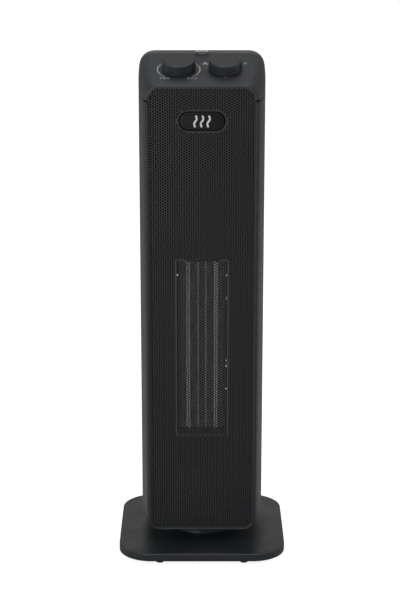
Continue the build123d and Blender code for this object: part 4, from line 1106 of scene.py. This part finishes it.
# Two near-black strips beside the fins: painted shade for the dark gaps between the fins and the frame.
shade_bars = bmesh.new()
for sign in (-1, 1):
    path = [(sign * SHADE_STRIP_X, tube_low.z), (sign * SHADE_STRIP_X, tube_high.z)]
    ribbon(shade_bars, path, 0.8 * MM, packs_low.y - 0.6 * MM, packs_low.y + 0.3 * MM)
place(piece_from("side_channels", shade_bars, "black_plastic", smooth=False), "tower", slot="black_plastic")


# %% Rivets on points
def dome(radius, height):
    """A domed rivet head that points up from just below the origin."""
    bm = bmesh.new()
    profile = [(0, -0.3 * MM), (radius, -0.3 * MM), (radius, 0.1 * MM)]
    profile += [(radius * math.cos(t), 0.1 * MM + height * math.sin(t))
                for t in (math.pi / 2 * i / 5 for i in range(1, 5))]
    lathe(bm, profile + [(0, 0.1 * MM + height)], 16)
    bmesh.ops.recalc_face_normals(bm, faces=bm.faces)
    return tool("rivet", bm)


RIVET_X = 28.8 * MM
RIVETS = ((-1, 88.5), (1, 88.5), (1, 60.5), (1, -15.5), (1, -22.5), (1, -50.5))      # side, mm from mid
rivet_points = bmesh.new()
middle = (tube_low.z + tube_high.z) / 2
for side, rise in RIVETS:
    rivet_points.verts.new((side * RIVET_X, front_y, middle + rise * MM))
spots, rivet = tool("spots", rivet_points), dome(1.4 * MM, 0.9 * MM)
rivets = run_tree("frame_rivets", screw_tree(), **{"Screw": rivet, "Points": spots, "Tilt": math.pi / 2})
for item in (spots, rivet):
    bpy.data.objects.remove(item)
# The rivets' near-white colour is a painted glint.
rivets.data.materials.clear()
rivets.data.materials.append(finish["rivet_glint_white"])
place(rivets, "tower", slot="tube_aluminium")


# %% [markdown]
# ## Dust screen
# Behind the rear slots sits a fine dust screen, so that the opening is dark and light doesn't shine
# through the heater. It is two layers of straight wires, upright and across, set out by one node tree.

# %% Dust screen
screen_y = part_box("rear_cover")[1].y - 3.4 * MM
SCREEN_HALF_W, SCREEN_HALF_H, WIRE_PITCH = 46 * MM, 104 * MM, 2.0 * MM
WIRE_W, WIRE_T, LAYER_GAP = 0.96 * MM, 0.5 * MM, 0.3 * MM      # LAYER_GAP: each layer off the middle


def screen_wire(length, upright):
    """One flat wire, centred on the origin."""
    bm = bmesh.new()
    made = bmesh.ops.create_cube(bm, size=1.0)["verts"]
    size = (WIRE_W, WIRE_T, length) if upright else (length, WIRE_T, WIRE_W)
    bmesh.ops.scale(bm, vec=size, verts=made)
    return tool("wire", bm)


def line_tree(material):
    """Copies a shape along X or Z, Count times, centred on the middle."""
    tree, given = new_tree("wires", **{"Shape": bpy.data.objects[0], "Count": 2, "Pitch X": 0.1,
                                       "Pitch Z": 0.1, "Y": 0.1, "Z": 0.1})
    span = calc(tree, "MULTIPLY", calc(tree, "SUBTRACT", given["Count"], 1.0), -0.5)
    start = wire(tree, "ShaderNodeCombineXYZ", {
        "X": calc(tree, "MULTIPLY", span, given["Pitch X"]), "Y": given["Y"],
        "Z": calc(tree, "ADD", calc(tree, "MULTIPLY", span, given["Pitch Z"]), given["Z"])}).outputs[0]
    offset = wire(tree, "ShaderNodeCombineXYZ", {"X": given["Pitch X"], "Z": given["Pitch Z"]}).outputs[0]
    line = wire(tree, "GeometryNodeMeshLine", {"Count": given["Count"], "Start Location": start,
                                               "Offset": offset}).outputs[0]
    close_tree(tree, copies_on(tree, line, given["Shape"]), finish[material])
    return tree


wires = line_tree("black_plastic")
parts = []
for upright, across, along in ((True, SCREEN_HALF_W, SCREEN_HALF_H), (False, SCREEN_HALF_H, SCREEN_HALF_W)):
    shape = screen_wire(2 * along, upright)
    parts.append(run_tree("screen", wires, **{
        "Shape": shape, "Count": int(2 * across / WIRE_PITCH), "Pitch X": WIRE_PITCH if upright else 0.0,
        "Pitch Z": 0.0 if upright else WIRE_PITCH, "Z": wheel_mid.z,
        "Y": screen_y + (LAYER_GAP if upright else -LAYER_GAP)}))
    bpy.data.objects.remove(shape)
place(join("dust_screen", *parts), "tower", slot="black_plastic")


# %% [markdown]
# ## The push button
# The key is a light cap over a dark lower part, whose dark is painted shade for the shadow gap under the
# cap. A softened copy of the CAD key is cut at the seam between them and lowered by the thickness of the
# print that stands on it.

# %% The push button, lowered by the thickness of its print
key_low, key_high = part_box("swing_button")
key = softened("swing_button", 0.45 * MM, "swing_key")
lowered = (key_high.z - key_low.z - PRINT_T) / (key_high.z - key_low.z)
key.data.transform(Matrix.Translation((0, 0, key_low.z)) @ Matrix.Diagonal((1, 1, lowered, 1))
                   @ Matrix.Translation((0, 0, -key_low.z)))


# %% Its light cap, cut from a lower part in painted shade
KEY_CAP_T = 1.6 * MM
key_seam = key_high.z - KEY_CAP_T


def key_part(source, above):
    """The key above or below its seam, closed again where it was cut."""
    bm = bmesh.new()
    bm.from_mesh(source)
    bmesh.ops.bisect_plane(bm, geom=bm.verts[:] + bm.edges[:] + bm.faces[:], plane_co=(0, 0, key_seam),
                           plane_no=(0, 0, 1), clear_inner=above, clear_outer=not above)
    bmesh.ops.holes_fill(bm, edges=[edge for edge in bm.edges if edge.is_boundary])
    return bm


place(piece_from("swing_key_cap", key_part(key.data, True), "button_plastic", angle=28), "swing_key",
      slot="button_plastic")
shaded_key_part = key_part(key.data, False)
shaded_key_part.to_mesh(key.data)
shaded_key_part.free()
# The lower part takes the dark cap plastic as painted shade for the shadow gap under the light cap.
key.data.materials[0] = finish["cap_plastic"]


# %% The signs on the push button
KEY_D = 8.0 * MM
ARROW_TIP, ARROW_BACK, ARROW_BAR = 5.4 * MM, 3.4 * MM, 7.0 * MM
TOP_SIGN_HALF, FACE_SIGN_HALF = 1.5 * MM, 0.55 * MM


def key_sign(bm, half_h):
    """A double arrow, the generic sign for turning from side to side."""
    for sign in (-1, 1):
        back = sign * ARROW_BACK
        slab(bm, [(sign * ARROW_TIP, 0), (back, -sign * half_h), (back, sign * half_h)])
    tick(bm, 0, 0, ARROW_BAR, 0.7 * half_h)


top_sign, face_sign = bmesh.new(), bmesh.new()
key_sign(top_sign, TOP_SIGN_HALF)
key_sign(face_sign, FACE_SIGN_HALF)
top_piece = piece_from("swing_sign", top_sign, "print_dark", smooth=False)
face_piece = piece_from("swing_face", face_sign, "print_dark", smooth=False)
key_mid_y = (key_low.y + key_high.y) / 2
top_piece.data.transform(Matrix.Translation((0, key_mid_y, key_high.z - PRINT_T)))
face_piece.data.transform(Matrix.Translation((0, key_mid_y - KEY_D / 2, key_high.z - KEY_CAP_T / 2))
                          @ Matrix.Rotation(math.pi / 2, 4, "X"))
place(join("swing_sign", top_piece, face_piece), "swing_key", slot="black_plastic")


# %% [markdown]
# ## Camera and lights
# The camera stands in front of the heater and a little above it, with a long lens. Area lights stand
# at both sides, above, in front and behind. A card overhead is seen only in reflections and puts the
# sheen on the glossy plastic.

# %% Camera
camera = shown("camera", bpy.data.cameras.new("camera"))
camera.data.lens, camera.data.sensor_width = 99.46, 36.0
camera.location = (-0.0023, -1.924, 0.8404)
camera.rotation_euler = (math.radians(74.44), 0, 0)
bpy.context.scene.camera = camera
bpy.context.scene.view_settings.view_transform = "Standard"


# %% Lights
def soft_light(name, spot, target, size, power, gloss_only=False):
    """A rectangular lamp aimed at a target and hidden from the camera."""
    lamp = bpy.data.lights.new(name, "AREA")
    lamp.shape, lamp.size, lamp.size_y = "RECTANGLE", size[0], size[1]
    lamp.energy = power
    item = shown(name, lamp)
    item.location = spot
    item.rotation_euler = (Vector(target) - Vector(spot)).to_track_quat("-Z", "Y").to_euler()
    item.visible_camera = False
    item.visible_diffuse = not gloss_only


soft_light("left_softbox", (-1.7, 0.1, 0.55), (0, 0, 0.3), (0.8, 1.4), 5.5)
soft_light("right_softbox", (1.7, 0.1, 0.55), (0, 0, 0.3), (0.8, 1.4), 5.5)
soft_light("top_softbox", (0, 0.5, 1.9), (0, 0, 0.4), (1.2, 1.0), 2.7)
soft_light("gloss_card", (0, -0.7, 2.2), (0, 0, 0.2), (1.6, 1.6), 22, gloss_only=True)
soft_light("front_softbox", (-1.0, -2.2, 0.65), (0, 0, 0.25), (1.0, 1.0), 11)
soft_light("rear_softbox", (0, 2.6, 1.35), (0, 0, 0.4), (1.8, 0.6), 3)


# %% [markdown]
# ## World and floor
# The world is plain white where the camera sees it, and a weaker fill light for everything else. The
# floor does the same: it glows for the camera only, so it shows pale and still takes a soft shadow.

# %% World
WORLD_FILL, FLOOR_GLOW = 0.24, 0.86
world = bpy.data.worlds.new("studio")
bpy.context.scene.world = world
world.use_nodes = True
sky = world.node_tree
sky.nodes.clear()
seen = wire(sky, "ShaderNodeLightPath").outputs["Is Camera Ray"]
plain = wire(sky, "ShaderNodeBackground", {"Color": (1, 1, 1, 1), "Strength": 1.0}).outputs[0]
fill = wire(sky, "ShaderNodeBackground", {"Color": (1, 1, 1, 1), "Strength": WORLD_FILL}).outputs[0]
mixed = wire(sky, "ShaderNodeMixShader", {0: seen, 1: fill, 2: plain}).outputs[0]
wire(sky, "ShaderNodeOutputWorld", {"Surface": mixed})

# %% Floor
ground = bmesh.new()
bmesh.ops.create_grid(ground, x_segments=1, y_segments=1, size=6.0)
pale = bpy.data.materials.new("pale_floor")
pale.use_nodes = True
tree = pale.node_tree
tree.nodes.clear()
direct = wire(tree, "ShaderNodeLightPath").outputs["Is Camera Ray"]
glow = calc(tree, "MULTIPLY", direct, FLOOR_GLOW)
shader = wire(tree, "ShaderNodeBsdfPrincipled", {"Base Color": (0.85, 0.85, 0.85, 1), "Roughness": 0.9,
              "Emission Color": (1, 1, 1, 1), "Emission Strength": glow})
wire(tree, "ShaderNodeOutputMaterial", {"Surface": shader.outputs["BSDF"]})
finish["pale_floor"] = pale
floor = piece_from("floor", ground, "pale_floor", smooth=False)
